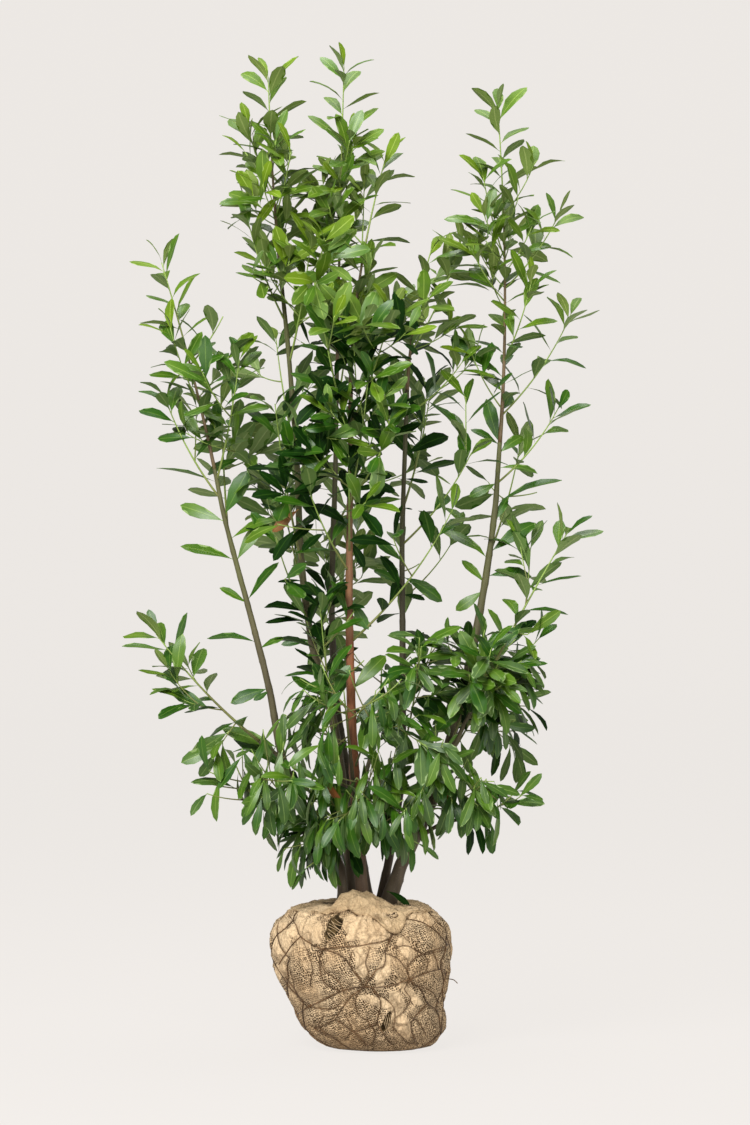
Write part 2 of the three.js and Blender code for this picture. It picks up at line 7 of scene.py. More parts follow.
import bpy
import numpy as np
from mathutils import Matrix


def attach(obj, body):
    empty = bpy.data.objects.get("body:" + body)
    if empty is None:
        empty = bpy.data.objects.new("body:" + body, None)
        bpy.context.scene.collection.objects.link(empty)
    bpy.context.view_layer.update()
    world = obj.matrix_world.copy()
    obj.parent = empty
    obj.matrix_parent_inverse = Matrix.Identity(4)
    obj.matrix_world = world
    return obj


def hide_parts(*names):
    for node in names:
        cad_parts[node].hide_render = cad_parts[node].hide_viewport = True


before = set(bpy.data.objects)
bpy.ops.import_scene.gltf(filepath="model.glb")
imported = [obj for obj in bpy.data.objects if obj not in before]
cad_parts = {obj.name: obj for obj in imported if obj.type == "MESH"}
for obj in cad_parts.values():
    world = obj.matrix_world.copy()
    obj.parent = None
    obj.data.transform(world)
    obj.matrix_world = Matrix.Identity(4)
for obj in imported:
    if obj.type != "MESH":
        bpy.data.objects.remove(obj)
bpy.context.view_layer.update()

MM = 0.001

# The root ball: half outline as radius and height, from the flat underside to the collar, and then how far
# the foot lies to the right, where that ends, and the top of the soil.
BALL_OUTLINE = np.array([
    (82, 0), (118, 8), (150, 36), (161, 62), (168, 95), (182, 140), (192, 175),
    (198, 205), (197, 235), (190, 262), (176, 283), (154, 301), (122, 313), (88, 315)], float)
FOOT_SHIFT = 36
SHIFT_TOP = 220
SOIL_TOP = 308

# The net: cells round the ball, heights of its rows, steps along a wire, radius of a wire and of a strand,
# and how far the cloth bulges between them. The cloth's mesh: columns round the ball and rows.
NET_CELLS = 12
NET_LEVELS = (9, 50, 98, 152, 206, 256, 296, 313)
NET_STEPS = 12
WIRE = 1.0
STRAND = 0.6
PINCH = 5.6
CLOTH_COLUMNS = 420
CLOTH_ROWS = 190

# Wires on the front of the ball, by x and z.
FRONT_WIRES = (
    ((3, 152), (-25, 147), (-50, 140), (-85, 122), (-115, 102), (-146, 76)),
    ((3, 152), (-15, 180), (-30, 200), (-52, 224), (-88, 232)),
    ((3, 152), (15, 167), (30, 190), (50, 200), (48, 225), (59, 256), (85, 298), (88, 312)),
    ((3, 152), (30, 151), (60, 155), (100, 165), (140, 178), (170, 180), (196, 156)),
    ((3, 152), (-28, 128), (-45, 105), (-62, 78), (-104, 52)),
    ((100, 165), (95, 190), (112, 215), (150, 224), (192, 228)),
    ((100, 165), (122, 140), (140, 110), (168, 84)),
    ((-160, 292), (-150, 275), (-140, 255), (-110, 240), (-88, 232)),
    ((-88, 232), (-40, 240), (0, 243), (40, 249), (59, 256)),
    ((-140, 255), (-168, 222), (-186, 186)),
    ((-88, 232), (-96, 192), (-82, 160), (-50, 140)),
    ((-115, 102), (-146, 128), (-172, 160)),
    ((20, 151), (40, 114), (32, 70), (62, 22)),
    ((140, 110), (104, 72), (112, 26)),
    ((-62, 78), (-22, 50), (10, 16)),
    ((85, 298), (128, 284), (162, 260), (190, 228)),
    ((-104, 52), (-60, 30), (-30, 8)),
    ((32, 70), (-22, 50)),
)
# Thin strands between them.
FRONT_STRANDS = (
    ((-100, 226), (-86, 190), (-51, 159), (-42, 136)),
    ((-24, 226), (-28, 199), (-11, 177), (3, 152)),
    ((16, 239), (7, 212), (12, 180), (3, 152)),
    ((92, 190), (99, 172), (92, 154), (88, 145)),
    ((114, 230), (137, 208), (134, 181)),
    ((65, 234), (92, 239), (123, 221), (159, 221), (192, 219)),
    ((-6, 145), (-19, 119), (-11, 92), (12, 74)),
    ((21, 141), (47, 128), (65, 105), (70, 83), (65, 56)),
    ((70, 83), (92, 101), (101, 119), (88, 145)),
    ((101, 83), (123, 65), (137, 38)),
    ((-86, 83), (-95, 61), (-73, 38)),
    ((-140, 114), (-118, 101), (-73, 101), (-42, 119)),
    ((-162, 177), (-153, 145), (-144, 119)),
    ((105, 154), (132, 145), (160, 119), (172, 101)),
    ((65, 61), (92, 29), (118, 18)),
    ((-37, 83), (-28, 56), (-42, 29)),
    ((12, 74), (26, 48), (22, 20)),
    ((-140, 255), (-122, 226), (-112, 190), (-115, 150)),
    ((48, 225), (74, 214), (92, 190)),
    ((150, 224), (158, 200), (166, 180)),
)
# Doubled cloth: middle x and z, half width and height, tilt, how far it stands out, and folds in its fan.
PATCHES = (
    (-122, 267, 40, 33, 0.1, 7, 3),
    (12, 276, 58, 36, 0, 8, 9),
    (-112, 308, 58, 12, 0.05, 6, 0),
    (118, 298, 42, 17, -0.25, 5, 5),
    (-176, 235, 22, 48, 0, 3, 0),
    (78, 92, 17, 62, 0.28, 3, 3),
    (104, 132, 9, 40, 0.75, 3, 0),
    (42, 186, 15, 40, -0.35, 3, 4),
    (94, 232, 12, 34, 0.6, 4, 0),
    (-4, 204, 15, 34, 0.2, 3, 3),
    (30, 120, 34, 11, -0.3, 6, 0),
    (-182, 170, 11, 34, -0.2, 2, 0),
)
# Section of the collar from the stems outwards, by radius and height: at the back, and where it is tallest.
# Then how far its underside lies in and down, and the steps across and round it.
COLLAR_LOW = np.array([(78, 300), (82, 309), (92, 315), (106, 316), (120, 314), (132, 311)], float)
COLLAR_FRONT = np.array([(70, 306), (76, 334), (88, 349), (106, 348), (130, 334), (157, 312)], float)
COLLAR_THICK = (1.5, 4.5)
COLLAR_STEPS = 34
COLLAR_TURNS = 400
# Knots that gather the cloth: x, z and how many half folds run round each. Tears: middle, half size, tilt.
KNOTS = ((3, 152, 9), (100, 165, 8), (-88, 232, 7), (59, 256, 7), (-45, 105, 7), (48, 70, 6))
TEARS = ((-62, 279, 15, 30, -0.55), (52, 74, 9, 23, -0.35))
# Twists of wire at joints of the net: x, z and tilt.
TWISTS = ((3, 152, 0.1), (100, 165, 0.9), (-88, 232, 0.4), (59, 256, 1.1), (-115, 102, 0.5))

# Stems: radius at the foot and at the end, and way points from the soil to the foot of the leafy leader.
STEMS = {
    "left": (12.0, 4.4, [(-42, -4, 0), (-54, -4, 400), (-122, -10, 515), (-172, -22, 620),
                         (-206, -34, 790), (-252, -42, 970), (-300, -46, 1150), (-324, -42, 1265)]),
    "centre_left": (12, 4.4, [(-24, 44, 0), (-38, 52, 480), (-62, 56, 690), (-112, 50, 880),
                              (-136, 44, 1060), (-146, 36, 1280), (-164, 26, 1520), (-181, 15, 1690)]),
    "centre": (14, 5, [(0, -14, 0), (-9, -20, 450), (-22, -30, 660), (-30, -42, 950),
                       (-28, -42, 1240), (-27, -34, 1440)]),
    "back": (11, 4.4, [(14, 50, 0), (-22, 84, 520), (-58, 108, 740), (-70, 118, 950),
                       (-62, 118, 1280), (-58, 104, 1500)]),
    "centre_right": (10, 4.4, [(36, 24, 0), (62, 30, 440), (84, 30, 590), (87, 30, 800),
                               (86, 22, 1120), (97, 14, 1440)]),
    "right": (16.5, 5, [(50, -10, 0), (84, -18, 400), (124, -22, 480), (162, -14, 575),
                        (224, 4, 800), (262, 14, 985), (288, 14, 1165), (300, 10, 1325)]),
}

# Boughs: stem, height where it leaves it, way point, end, radius at the stem and at the end.
BOUGHS = {
    "low_left": ("left", 545, (-178, -48, 632), (-226, -58, 672), 6, 4),
    "under_left": ("left", 425, (-112, -58, 462), (-186, -84, 506), 5.5, 3.6),
    "low_front": ("centre", 470, (-20, -82, 570), (-28, -132, 655), 6, 3.8),
    "low_right": ("right", 545, (192, -70, 650), (238, -92, 748), 6.5, 4.2),
    "tail_right": ("right", 450, (172, -48, 492), (238, -62, 506), 5, 3.4),
    "low_back": ("back", 520, (14, 140, 620), (30, 190, 700), 6, 4),
}

# Leafy masses: what carries it, height there or None for its end, tip, side shoots as share and end, shoots
# of the rule, droop, and its finer twigs: one on each 125 mm of shoot times this.
MASSES = {
    "leader_left": ("left", None, (-440, -30, 1716),
                    [(0.5, -285, -60, 1640), (0.3, -418, -88, 1570)], 0, 0, 0.2),
    "outer_left": ("left", 1200, (-432, -70, 1424), [], 2, 0, 0),
    "inner_left": ("left", 1240, (-268, -92, 1500), [], 2, 0, 0),
    "rear_left": ("left", 1130, (-318, 135, 1430), [], 2, 0, 0.1),
    "arm_left": ("low_left", None, (-450, -60, 905),
                 [(0.32, -386, -120, 764), (0.2, -318, -110, 650)], 0, 0, 0.3),
    "fan_left": ("under_left", None, (-282, -96, 640), [], 3, 0.7, 0.5),
    "skirt_left": ("left", 488, (-240, -158, 660), [], 3, 0.8, 1.6),
    "leader_centre_left": ("centre_left", None, (-208, 0, 2124),
                           [(0.42, -252, -12, 2012), (0.3, -158, -72, 1950), (0.34, -158, 70, 1975)],
                           0, 0, 3.4),
    "high_left": ("centre_left", 1590, (-248, -34, 1795), [(0.4, -250, -90, 1690)], 1, 0, 0.8),
    "high_inner": ("centre_left", 1500, (-112, -70, 1770), [], 2, 0, 1.5),
    "spire_left": ("centre_left", 1060, (-192, -108, 1420), [], 3, 0, 0.6),
    "rear_high_left": ("centre_left", 1300, (-196, 205, 1560), [], 2, 0, 0.45),
    "rear_low_left": ("centre_left", 1000, (-185, 215, 1235), [], 2, 0, 0.8),
    "ladder_left": ("centre_left", 940, (-192, -70, 1125), [], 1, 0, 0.2),
    "spire_low": ("centre_left", 640, (-94, -104, 980), [], 3, 0, 0.9),
    "leader_centre": ("centre", None, (50, 0, 1950),
                      [(0.34, 20, -80, 1720), (0.5, 2, 60, 1890)], 1, 0, 0.5),
    "front_high": ("centre", 1360, (62, -132, 1612), [(0.15, -20, -130, 1540)], 1, 0, 1.2),
    "front_high_left": ("centre", 1330, (-92, -136, 1615), [], 2, 0, 1.1),
    "front_mid": ("centre", 1080, (-30, -158, 1290), [(0.5, 14, -150, 1480)], 1, 0, 1.4),
    "front_right": ("centre", 1190, (70, -118, 1385), [], 1, 0, 0.3),
    "front_left": ("centre", 1040, (-122, -150, 1235), [], 1, 0, 0.45),
    "cross_right": ("centre", 885, (192, -92, 1172), [(0.55, 60, -140, 1130)], 0, 0, 0),
    "front_low": ("centre", 610, (30, -178, 800), [], 3, 0.4, 1.0),
    "skirt_front": ("low_front", None, (-40, -276, 790),
                    [(0.1, -112, -176, 716), (0.2, -92, -196, 640)], 3, 0.9, 3.6),
    "hem_front": ("centre", 440, (48, -168, 590),
                  [(0.12, -96, -120, 600), (0.3, 112, -150, 560), (0.05, -150, -90, 500),
                   (0.05, -100, -130, 500)], 3, 1, 5.0),
    "leader_back": ("back", None, (-42, 0, 2146),
                    [(0.38, -98, 70, 1880), (0.62, -20, -24, 1975)], 0, 0, 2.3),
    "rear_high": ("back", 1400, (-30, 262, 1650), [], 3, 0, 0.3),
    "rear_mid": ("back", 1130, (30, 290, 1380), [], 3, 0, 0.2),
    "rear_low": ("back", 850, (-86, 292, 1090), [], 3, 0, 0.9),
    "skirt_back": ("low_back", None, (40, 290, 850), [], 3, 0.7, 2.6),
    "leader_centre_right": ("centre_right", None, (152, 10, 1756), [(0.25, 214, 24, 1764)], 1, 0, 1.0),
    "reach_right": ("centre_right", 1385, (212, -50, 1492), [], 1, 0, 0.1),
    "mid_right": ("centre_right", 1100, (236, -50, 1300), [(0.9, 224, -40, 1428)], 0, 0, 0),
    "rear_right": ("centre_right", 1180, (150, 205, 1440), [], 2, 0, 0),
    "rear_right_low": ("centre_right", 850, (84, 235, 1120), [], 2, 0, 0),
    "inner_right": ("centre_right", 640, (126, -110, 880), [], 3, 0.4, 2.0),
    "leader_right": ("right", None, (295, 0, 2058),
                     [(0.46, 428, -30, 1822), (0.55, 262, -50, 1900), (0.42, 236, -60, 1744),
                      (0.24, 366, -70, 1672), (0.08, 456, 30, 1604), (0.1, 236, -40, 1520)], 0, 0, 1.4),
    "low_shoot_right": ("right", 1235, (424, -26, 1394), [], 0, 0, 0.2),
    "rear_far_right": ("right", 1080, (352, 175, 1330), [], 2, 0, 0),
    "arm_right": ("low_right", None, (444, -74, 1126), [(0.42, 366, -130, 905)], 1, 0, 0.1),
    "crown_right": ("right", 650, (262, -140, 915), [], 3, 0.4, 2.8),
    "skirt_right": ("right", 700, (315, -70, 795), [], 3, 0.8, 1.9),
    "hem_right": ("right", 540, (225, -168, 640),
                  [(0.1, 128, -140, 640), (0.05, 276, -90, 500)], 3, 0.8, 1.5),
    "tail": ("tail_right", None, (334, -70, 566), [], 1, 0.25, 0),
    "rear_skirt_right": ("right", 620, (292, 165, 830), [], 3, 0.6, 1.2),
}

# The space of the crown: height, and how far it reaches to the left, to the right, to the front and back.
REACH = np.array([
    (330, -120, 130, 190), (440, -250, 300, 290), (560, -385, 410, 340), (700, -430, 425, 360),
    (800, -490, 420, 370), (930, -540, 430, 370), (1010, -430, 480, 370), (1150, -410, 520, 370),
    (1260, -440, 430, 370), (1400, -505, 500, 350), (1640, -505, 520, 320), (1790, -500, 480, 280),
    (1880, -335, 490, 240), (2000, -330, 410, 200), (2100, -300, 395, 150), (2180, -290, 330, 110),
    (2225, -110, 40, 80)], float)

# A full leaf's length and width, the way between leaves on a twig, the turn from one to the next, the length
# of shoot for a finer twig, and the height above which none grow.
LEAF_LENGTH = 96
LEAF_WIDTH = 33
LEAF_GAP = 22
GOLDEN = 2.39996
FINE_EVERY = 125
FINE_TOP = 1940
SEED = 150

# Openings seen from the front: middle x and z, half width and height. The second lot is only in the leaves
# on the near side.
OPENINGS = (
    (-285, 1672, 48, 72), (-196, 1500, 38, 78), (105, 1790, 45, 70), (20, 1800, 24, 40),
    (-195, 1052, 34, 46), (28, 880, 36, 85), (22, 790, 28, 50), (410, 630, 45, 120), (-305, 500, 50, 56),
    (408, 1264, 40, 50), (-284, 850, 46, 78), (-118, 1988, 32, 76), (-118, 1560, 14, 40),
    (120, 1090, 26, 50), (400, 1180, 30, 50), (300, 1265, 34, 34), (-392, 1278, 56, 58),
    (-190, 985, 34, 32), (-212, 436, 10, 26), (416, 805, 40, 66), (228, 1210, 26, 60), (205, 1078, 38, 44),
    (72, 1285, 22, 50), (-500, 1740, 30, 60), (-300, 1770, 30, 36), (395, 1080, 34, 36),
    (220, 1480, 22, 46), (-410, 1180, 36, 40), (62, 1190, 14, 40), (160, 1330, 20, 40),
    (238, 1010, 20, 50), (400, 1650, 26, 34), (-290, 1562, 24, 36), (-200, 882, 18, 34),
    (-392, 588, 44, 44), (14, 985, 30, 42), (-196, 785, 34, 44), (-486, 1600, 40, 80),
    (-345, 1660, 22, 40), (428, 890, 34, 50), (66, 1722, 36, 54), (372, 1862, 24, 42), (342, 1232, 32, 40),
    (142, 952, 46, 36), (-284, 1926, 40, 36), (408, 1908, 40, 24), (-280, 540, 28, 36),
    (-132, 1432, 16, 36), (-128, 1364, 16, 24), (246, 1650, 26, 40), (160, 1046, 30, 24),
    (150, 1236, 34, 26), (40, 1160, 20, 24), (-98, 370, 46, 26),
)
NEAR_OPENINGS = ((-26, 760, 26, 190), (-180, 1146, 34, 24))
NEAR_SIDE = -35
# Single leaves on the bare stems: height of the foot, x and height of the tip, and how far the leaf turns its
# upper side to the front.
STEM_LEAVES = (
    ("left", [
        (1066, -388, 1094, 0.8), (972, -304, 995, 1.6), (886, -334, 912, 0.4), (975, -202, 1054, 0.5),
        (786, -288, 756, 1.6), (872, -184, 894, 0.8), (1150, -402, 1178, 2.6), (1062, -226, 1140, 2.6),
        (1162, -256, 1244, 2.4), (1236, -440, 1268, 0.1), (782, -234, 748, 2.4), (1110, -214, 1172, 0.6)]),
    ("right", [
        (1082, 370, 1146, 2.8), (1000, 206, 946, 2.4), (1236, 236, 1196, 1.8), (1066, 202, 1150, 0.5),
        (1015, 224, 1056, 1.4), (1190, 418, 1252, 0.4), (1268, 386, 1272, 0.8), (1318, 244, 1350, 0.8),
        (1300, 348, 1338, 2.4), (1320, 268, 1402, 2.8), (1150, 318, 1190, 2.8), (1030, 372, 1046, 0.9)]),
    ("centre_right", [
        (1296, 184, 1346, 2.6), (1010, 30, 1040, 1.0), (1030, 180, 978, 2.4), (990, 138, 974, 1.2),
        (1200, 20, 1190, 1.4), (1245, 142, 1226, 0.8), (1180, 108, 1168, 0.8)]),
    ("centre", [
        (1360, 30, 1420, 1.2), (1250, 60, 1235, 2.4), (1170, 44, 1215, 1.4), (700, 40, 770, 1.6),
        (560, -100, 560, 1.2), (1110, 6, 1040, 2.6), (985, 10, 905, 2.4), (780, 46, 852, 2.6)]),
    ("centre_left", [
        (760, -150, 800, 1.2), (950, -212, 978, 0.6), (930, -210, 936, 0.5), (890, -178, 872, 2.6),
        (1020, -186, 1012, 0.6)]),
    ("right", [(700, 150, 760, 1.2)]),
    ("left", [
        (600, -262, 700, 1.2), (655, -300, 690, 1.2)]),
)
# Leaves that turn red-brown before they fall, placed in the same way.
TURNING_LEAVES = (("centre_left", 1178, -226, 1112), ("right", 585, 176, 570), ("centre", 478, -66, 462))
# A dark leaf fallen on the collar: foot, aim and upper side.
FALLEN_LEAF = ((52.0, -62.0, 346.0), (0.9, -0.05, -0.26), (0.1, -0.7, 0.7))
UP = np.array((0.0, 0.0, 1.0))
# Steps of the main path of a shoot, and places along a leaf and points across it.
SHOOT_STEPS = 48
LEAF_ROWS = (-0.11, 0.0, 0.19, 0.44, 0.69, 0.9, 1.0)
LEAF_COLUMNS = 5


def stream(seed):
    """The source's steady stream of numbers from 0 to 1 for each seed."""
    state = (seed * 7919 + 104729) & 0xFFFFFFFF
    while True:
        state = (state * 1664525 + 1013904223) & 0xFFFFFFFF
        yield state / 4294967296


def smooth(t):
    """Cubic ease from 0 to 1: t squared times 3 minus 2t."""
    t = np.clip(t, 0, 1)
    return t * t * (3 - 2 * t)


def bell(x, width):
    """1 where x is 0, falling off on both sides: e to the minus square of x over the width."""
    return np.exp(-(x / width) ** 2)


def angle_from(a, middle):
    """How far an angle is from a middle one, between minus and plus pi."""
    return np.arctan2(np.sin(a - middle), np.cos(a - middle))


def round_about(count):
    """Angles all the way round."""
    return np.linspace(0, 2 * np.pi, count, endpoint=False)


def unit(v):
    """Vectors along the last axis scaled to length 1."""
    return v / np.maximum(np.linalg.norm(v, axis=-1, keepdims=True), 1e-12)


def ripple(p, size, seed, waves=18):
    """Smooth noise from about -1 to 1: a sum of sine waves in seeded directions, each near one wavelength."""
    rng = np.random.RandomState(seed)
    way = unit(rng.normal(size=(waves, 3))) * (2 * np.pi / size) * rng.uniform(0.7, 1.4, (waves, 1))
    return np.sin(p @ way.T + rng.uniform(0, 6.28, waves)).sum(-1) / math.sqrt(waves)


def spline(points):
    """Centripetal Catmull-Rom curve through points, forty even steps of its parameter to each span."""
    p = np.asarray(points, float)
    p = np.vstack([2 * p[0] - p[1], p, 2 * p[-1] - p[-2]])
    d = np.linalg.norm(np.diff(p, axis=0), axis=1) ** 0.5
    t = np.linspace(0, 1, 40, endpoint=False)[None, :, None]
    a, b, c, e = p[:-3, None], p[1:-2, None], p[2:-1, None], p[3:, None]
    d0, d1, d2 = (v[:, None, None] for v in (d[:-2], d[1:-1], d[2:]))
    m1 = d1 * ((b - a) / d0 - (c - a) / (d0 + d1) + (c - b) / d1)
    m2 = d1 * ((c - b) / d1 - (e - b) / (d1 + d2) + (e - c) / d2)
    dense = b + m1 * t + (3 * (c - b) - 2 * m1 - m2) * t ** 2 + (2 * (b - c) + m1 + m2) * t ** 3
    return np.vstack([dense.reshape(-1, p.shape[1]), p[-2]])


def evenly(path, count):
    """A path resampled at count + 1 places an equal way apart."""
    way = np.concatenate([[0], np.cumsum(np.linalg.norm(np.diff(path, axis=0), axis=1))])
    at = np.linspace(0, way[-1], count + 1)
    return np.stack([np.interp(at, way, path[:, k]) for k in range(path.shape[1])], 1), way[-1]


def tube_rings(path, radii, sides):
    """A round section carried along a path: centre plus radius times cosine and sine across the heading."""
    heading = unit(np.gradient(path, axis=0))
    spare = np.eye(3)[np.argmin(np.abs(unit(path[-1] - path[0])))]
    across = unit(spare - heading * (heading @ spare)[:, None])
    third = np.cross(heading, across)
    a = round_about(sides)
    ring = np.cos(a)[None, :, None] * across[:, None] + np.sin(a)[None, :, None] * third[:, None]
    return path[:, None] + ring * np.asarray(radii)[:, None, None]


class Heap:
    """Collects grids of points into the arrays of one mesh."""

    def __init__(self):
        self.points, self.quads, self.caps, self.uvs, self.marks, self.count = [], [], [], [], [], 0

    def grid(self, rings, ends=True, v=(0, 1), mark=None):
        """Rings of points joined by quads, each closed on itself; ends closes the first and last by a fan."""
        rows, cols = rings.shape[:2]
        i, j = np.meshgrid(np.arange(rows - 1), np.arange(cols), indexing="ij")
        k = (j + 1) % cols
        quads = np.stack([i * cols + j, i * cols + k, (i + 1) * cols + k, (i + 1) * cols + j], -1)
        us = np.stack([j, j + 1, j + 1, j], -1) / cols
        vs = v[0] + (v[1] - v[0]) * np.stack([i, i, i + 1, i + 1], -1) / (rows - 1)
        self.quads.append(quads.reshape(-1, 4) + self.count)
        self.uvs.append(np.stack([us, vs], -1).reshape(-1, 4, 2))
        self.points.append(rings.reshape(-1, 3))
        self.marks.append(np.zeros(rows * cols) if mark is None else mark.ravel())
        start = self.count
        self.count += rows * cols
        if ends:
            for row, flip in ((0, True), (rows - 1, False)):
                self.points.append(rings[row].mean(0, keepdims=True))
                self.marks.append(self.marks[-1][-1:] if row else self.marks[-1][:1])
                a = start + row * cols + np.arange(cols)
                b = start + row * cols + (np.arange(cols) + 1) % cols
                fan = (b, a) if flip else (a, b)
                self.caps.append(np.stack([fan[0], fan[1], np.full(cols, self.count)], -1))
                self.count += 1

    def tube(self, path, radii, sides, marks=None):
        """Adds a closed round tube along a path, with a mark for each ring."""
        mark = None if marks is None else np.repeat(np.asarray(marks, float)[:, None], sides, 1)
        self.grid(tube_rings(path, radii, sides), mark=mark)

    def piece(self, name, finishes, nodes=(), slot=None, finish_index=None, sharp=None, stain=None,
              ride=True):
        """Makes one object of the collected arrays, in millimetres, which rides on the plant."""
        points = np.concatenate(self.points) * MM
        quads = np.concatenate(self.quads)
        uvs = np.concatenate(self.uvs)
        caps = np.concatenate(self.caps) if self.caps else np.zeros((0, 3), int)
        loops = np.concatenate([quads.ravel(), caps.ravel()]).astype(np.int32)
        starts = np.concatenate([np.arange(len(quads)) * 4, len(quads) * 4 + np.arange(len(caps)) * 3])
        mesh = bpy.data.meshes.new(name)
        mesh.vertices.add(len(points))
        mesh.vertices.foreach_set("co", points.astype(np.float32).ravel())
        mesh.loops.add(len(loops))
        mesh.loops.foreach_set("vertex_index", loops)
        mesh.polygons.add(len(starts))
        mesh.polygons.foreach_set("loop_start", starts.astype(np.int32))
        if finish_index is not None:
            mesh.polygons.foreach_set("material_index", finish_index.astype(np.int32))
        mesh.update(calc_edges=True)
        layer = mesh.uv_layers.new(name="UVMap")
        cap_uv = np.tile([[0.5, 0.0]], (caps.size, 1))
        layer.data.foreach_set("uv", np.concatenate([uvs.reshape(-1, 2), cap_uv]).astype(np.float32).ravel())
        marks = np.concatenate(self.marks)
        if marks.any():
            mesh.attributes.new("mark", "FLOAT", "POINT").data.foreach_set("value", marks.astype(np.float32))
        if stain is not None:
            stain = np.pad(stain, (0, len(points) - len(stain))).astype(np.float32)
            mesh.attributes.new("stain", "FLOAT", "POINT").data.foreach_set("value", stain)
        mesh.shade_smooth()
        if sharp is not None:
            edges = np.empty(len(mesh.edges) * 2, np.int32)
            mesh.edges.foreach_get("vertices", edges)
            hard = sharp[edges.reshape(-1, 2)].all(1)
            mesh.attributes.new("sharp_edge", "BOOLEAN", "EDGE").data.foreach_set("value", hard)
        mesh.validate()
        for finish in finishes:
            mesh.materials.append(finish)
        thing = bpy.data.objects.new(name, mesh)
        bpy.context.scene.collection.objects.link(thing)
        if ride:
            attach(thing, "root")
        if nodes:
            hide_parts(*nodes)
        return thing


# Finishes

def srgb(r, g, b):
    """An eight-bit screen colour as linear light."""
    v = np.array((r, g, b)) / 255
    return tuple(float(c) for c in np.where(v <= 0.04045, v / 12.92, ((v + 0.055) / 1.055) ** 2.4)) + (1.0,)


class Level:
    """A value that changes over a surface; arithmetic on it adds Math nodes to its finish."""

    def __init__(self, finish, socket):
        self.finish, self.socket = finish, socket

    def __add__(self, other):
        return self.finish.math("ADD", self, other)

    def __sub__(self, other):
        return self.finish.math("SUBTRACT", self, other)

    def __rsub__(self, other):
        return self.finish.math("SUBTRACT", other, self)

    def __mul__(self, other):
        return self.finish.math("MULTIPLY", self, other)

    __radd__ = __add__
    __rmul__ = __mul__


class Finish:
    """One material: a principled shader and the nodes that feed it."""

    def __init__(self, name, **constants):
        self.material = bpy.data.materials.new(name)
        self.material.use_nodes = True
        self.tree = self.material.node_tree
        self.shader = self.tree.nodes["Principled BSDF"]
        for key, value in constants.items():
            self.shader.inputs[key.replace("_", " ").title().replace("Ior", "IOR")].default_value = value

    def node(self, kind, settings=None, inputs=None):
        """Adds a node: its settings first, then the values or links of its sockets."""
        made = self.tree.nodes.new(kind)
        for key, value in (settings or {}).items():
            if key == "stops":
                while len(made.color_ramp.elements) < len(value):
                    made.color_ramp.elements.new(0.5)
                for element, (place, colour) in zip(made.color_ramp.elements, value):
                    element.position = place
                    element.color = colour
            else:
                setattr(made, key, value)
        for key, value in (inputs or {}).items():
            if isinstance(value, Level):
                self.tree.links.new(value.socket, made.inputs[key])
            else:
                made.inputs[key].default_value = value
        return made

    def out(self, kind, settings=None, inputs=None, output=0):
        """Adds a node and gives one of its outputs."""
        return Level(self, self.node(kind, settings, inputs).outputs[output])

    def math(self, operation, *values):
        return self.out("ShaderNodeMath", {"operation": operation}, dict(enumerate(values)))

    def size(self, value):
        """A value without its sign."""
        return self.math("ABSOLUTE", value)

    def clamp(self, value):
        return self.out("ShaderNodeClamp", None, {0: value, 1: 0.0, 2: 1.0})

    def band(self, value, low, high):
        """0 below low, 1 above high, eased between."""
        return self.out("ShaderNodeMapRange", {"interpolation_type": "SMOOTHSTEP"},
                        {0: value, 1: low, 2: high})

    def mix(self, share, first, second):
        """The first colour where the share is 0, the second where it is 1."""
        return self.out("ShaderNodeMix", {"data_type": "RGBA"}, {0: share, 6: first, 7: second}, 2)

    def carried(self, name):
        """A value that the mesh carries at each of its points."""
        return self.out("ShaderNodeAttribute", {"attribute_name": name}, None, 2)

    def place(self):
        """Where a point is, in metres of the plant's own frame."""
        return self.out("ShaderNodeTexCoord", None, None, 3)

    def stretched(self, x, y, z):
        return self.out("ShaderNodeMapping", None, {0: self.place(), 3: (x, y, z)})

    def part(self, vector, axis):
        return self.out("ShaderNodeSeparateXYZ", None, {0: vector}, axis)

    def uv(self, axis):
        return self.part(self.out("ShaderNodeUVMap", {"uv_map": "UVMap"}), axis)

    def noise(self, scale, detail=3.0, rough=0.55, vector=None):
        return self.out("ShaderNodeTexNoise", None, {
            "Vector": vector or self.place(), "Scale": scale, "Detail": detail, "Roughness": rough})

    def feed(self, **sockets):
        for key, value in sockets.items():
            self.tree.links.new(value.socket, self.shader.inputs[key.replace("_", " ").title()])

    def bump(self, height, strength, distance, under=None):
        inputs = {"Height": height, "Strength": strength, "Distance": distance}
        if under:
            inputs["Normal"] = under
        return self.out("ShaderNodeBump", None, inputs)


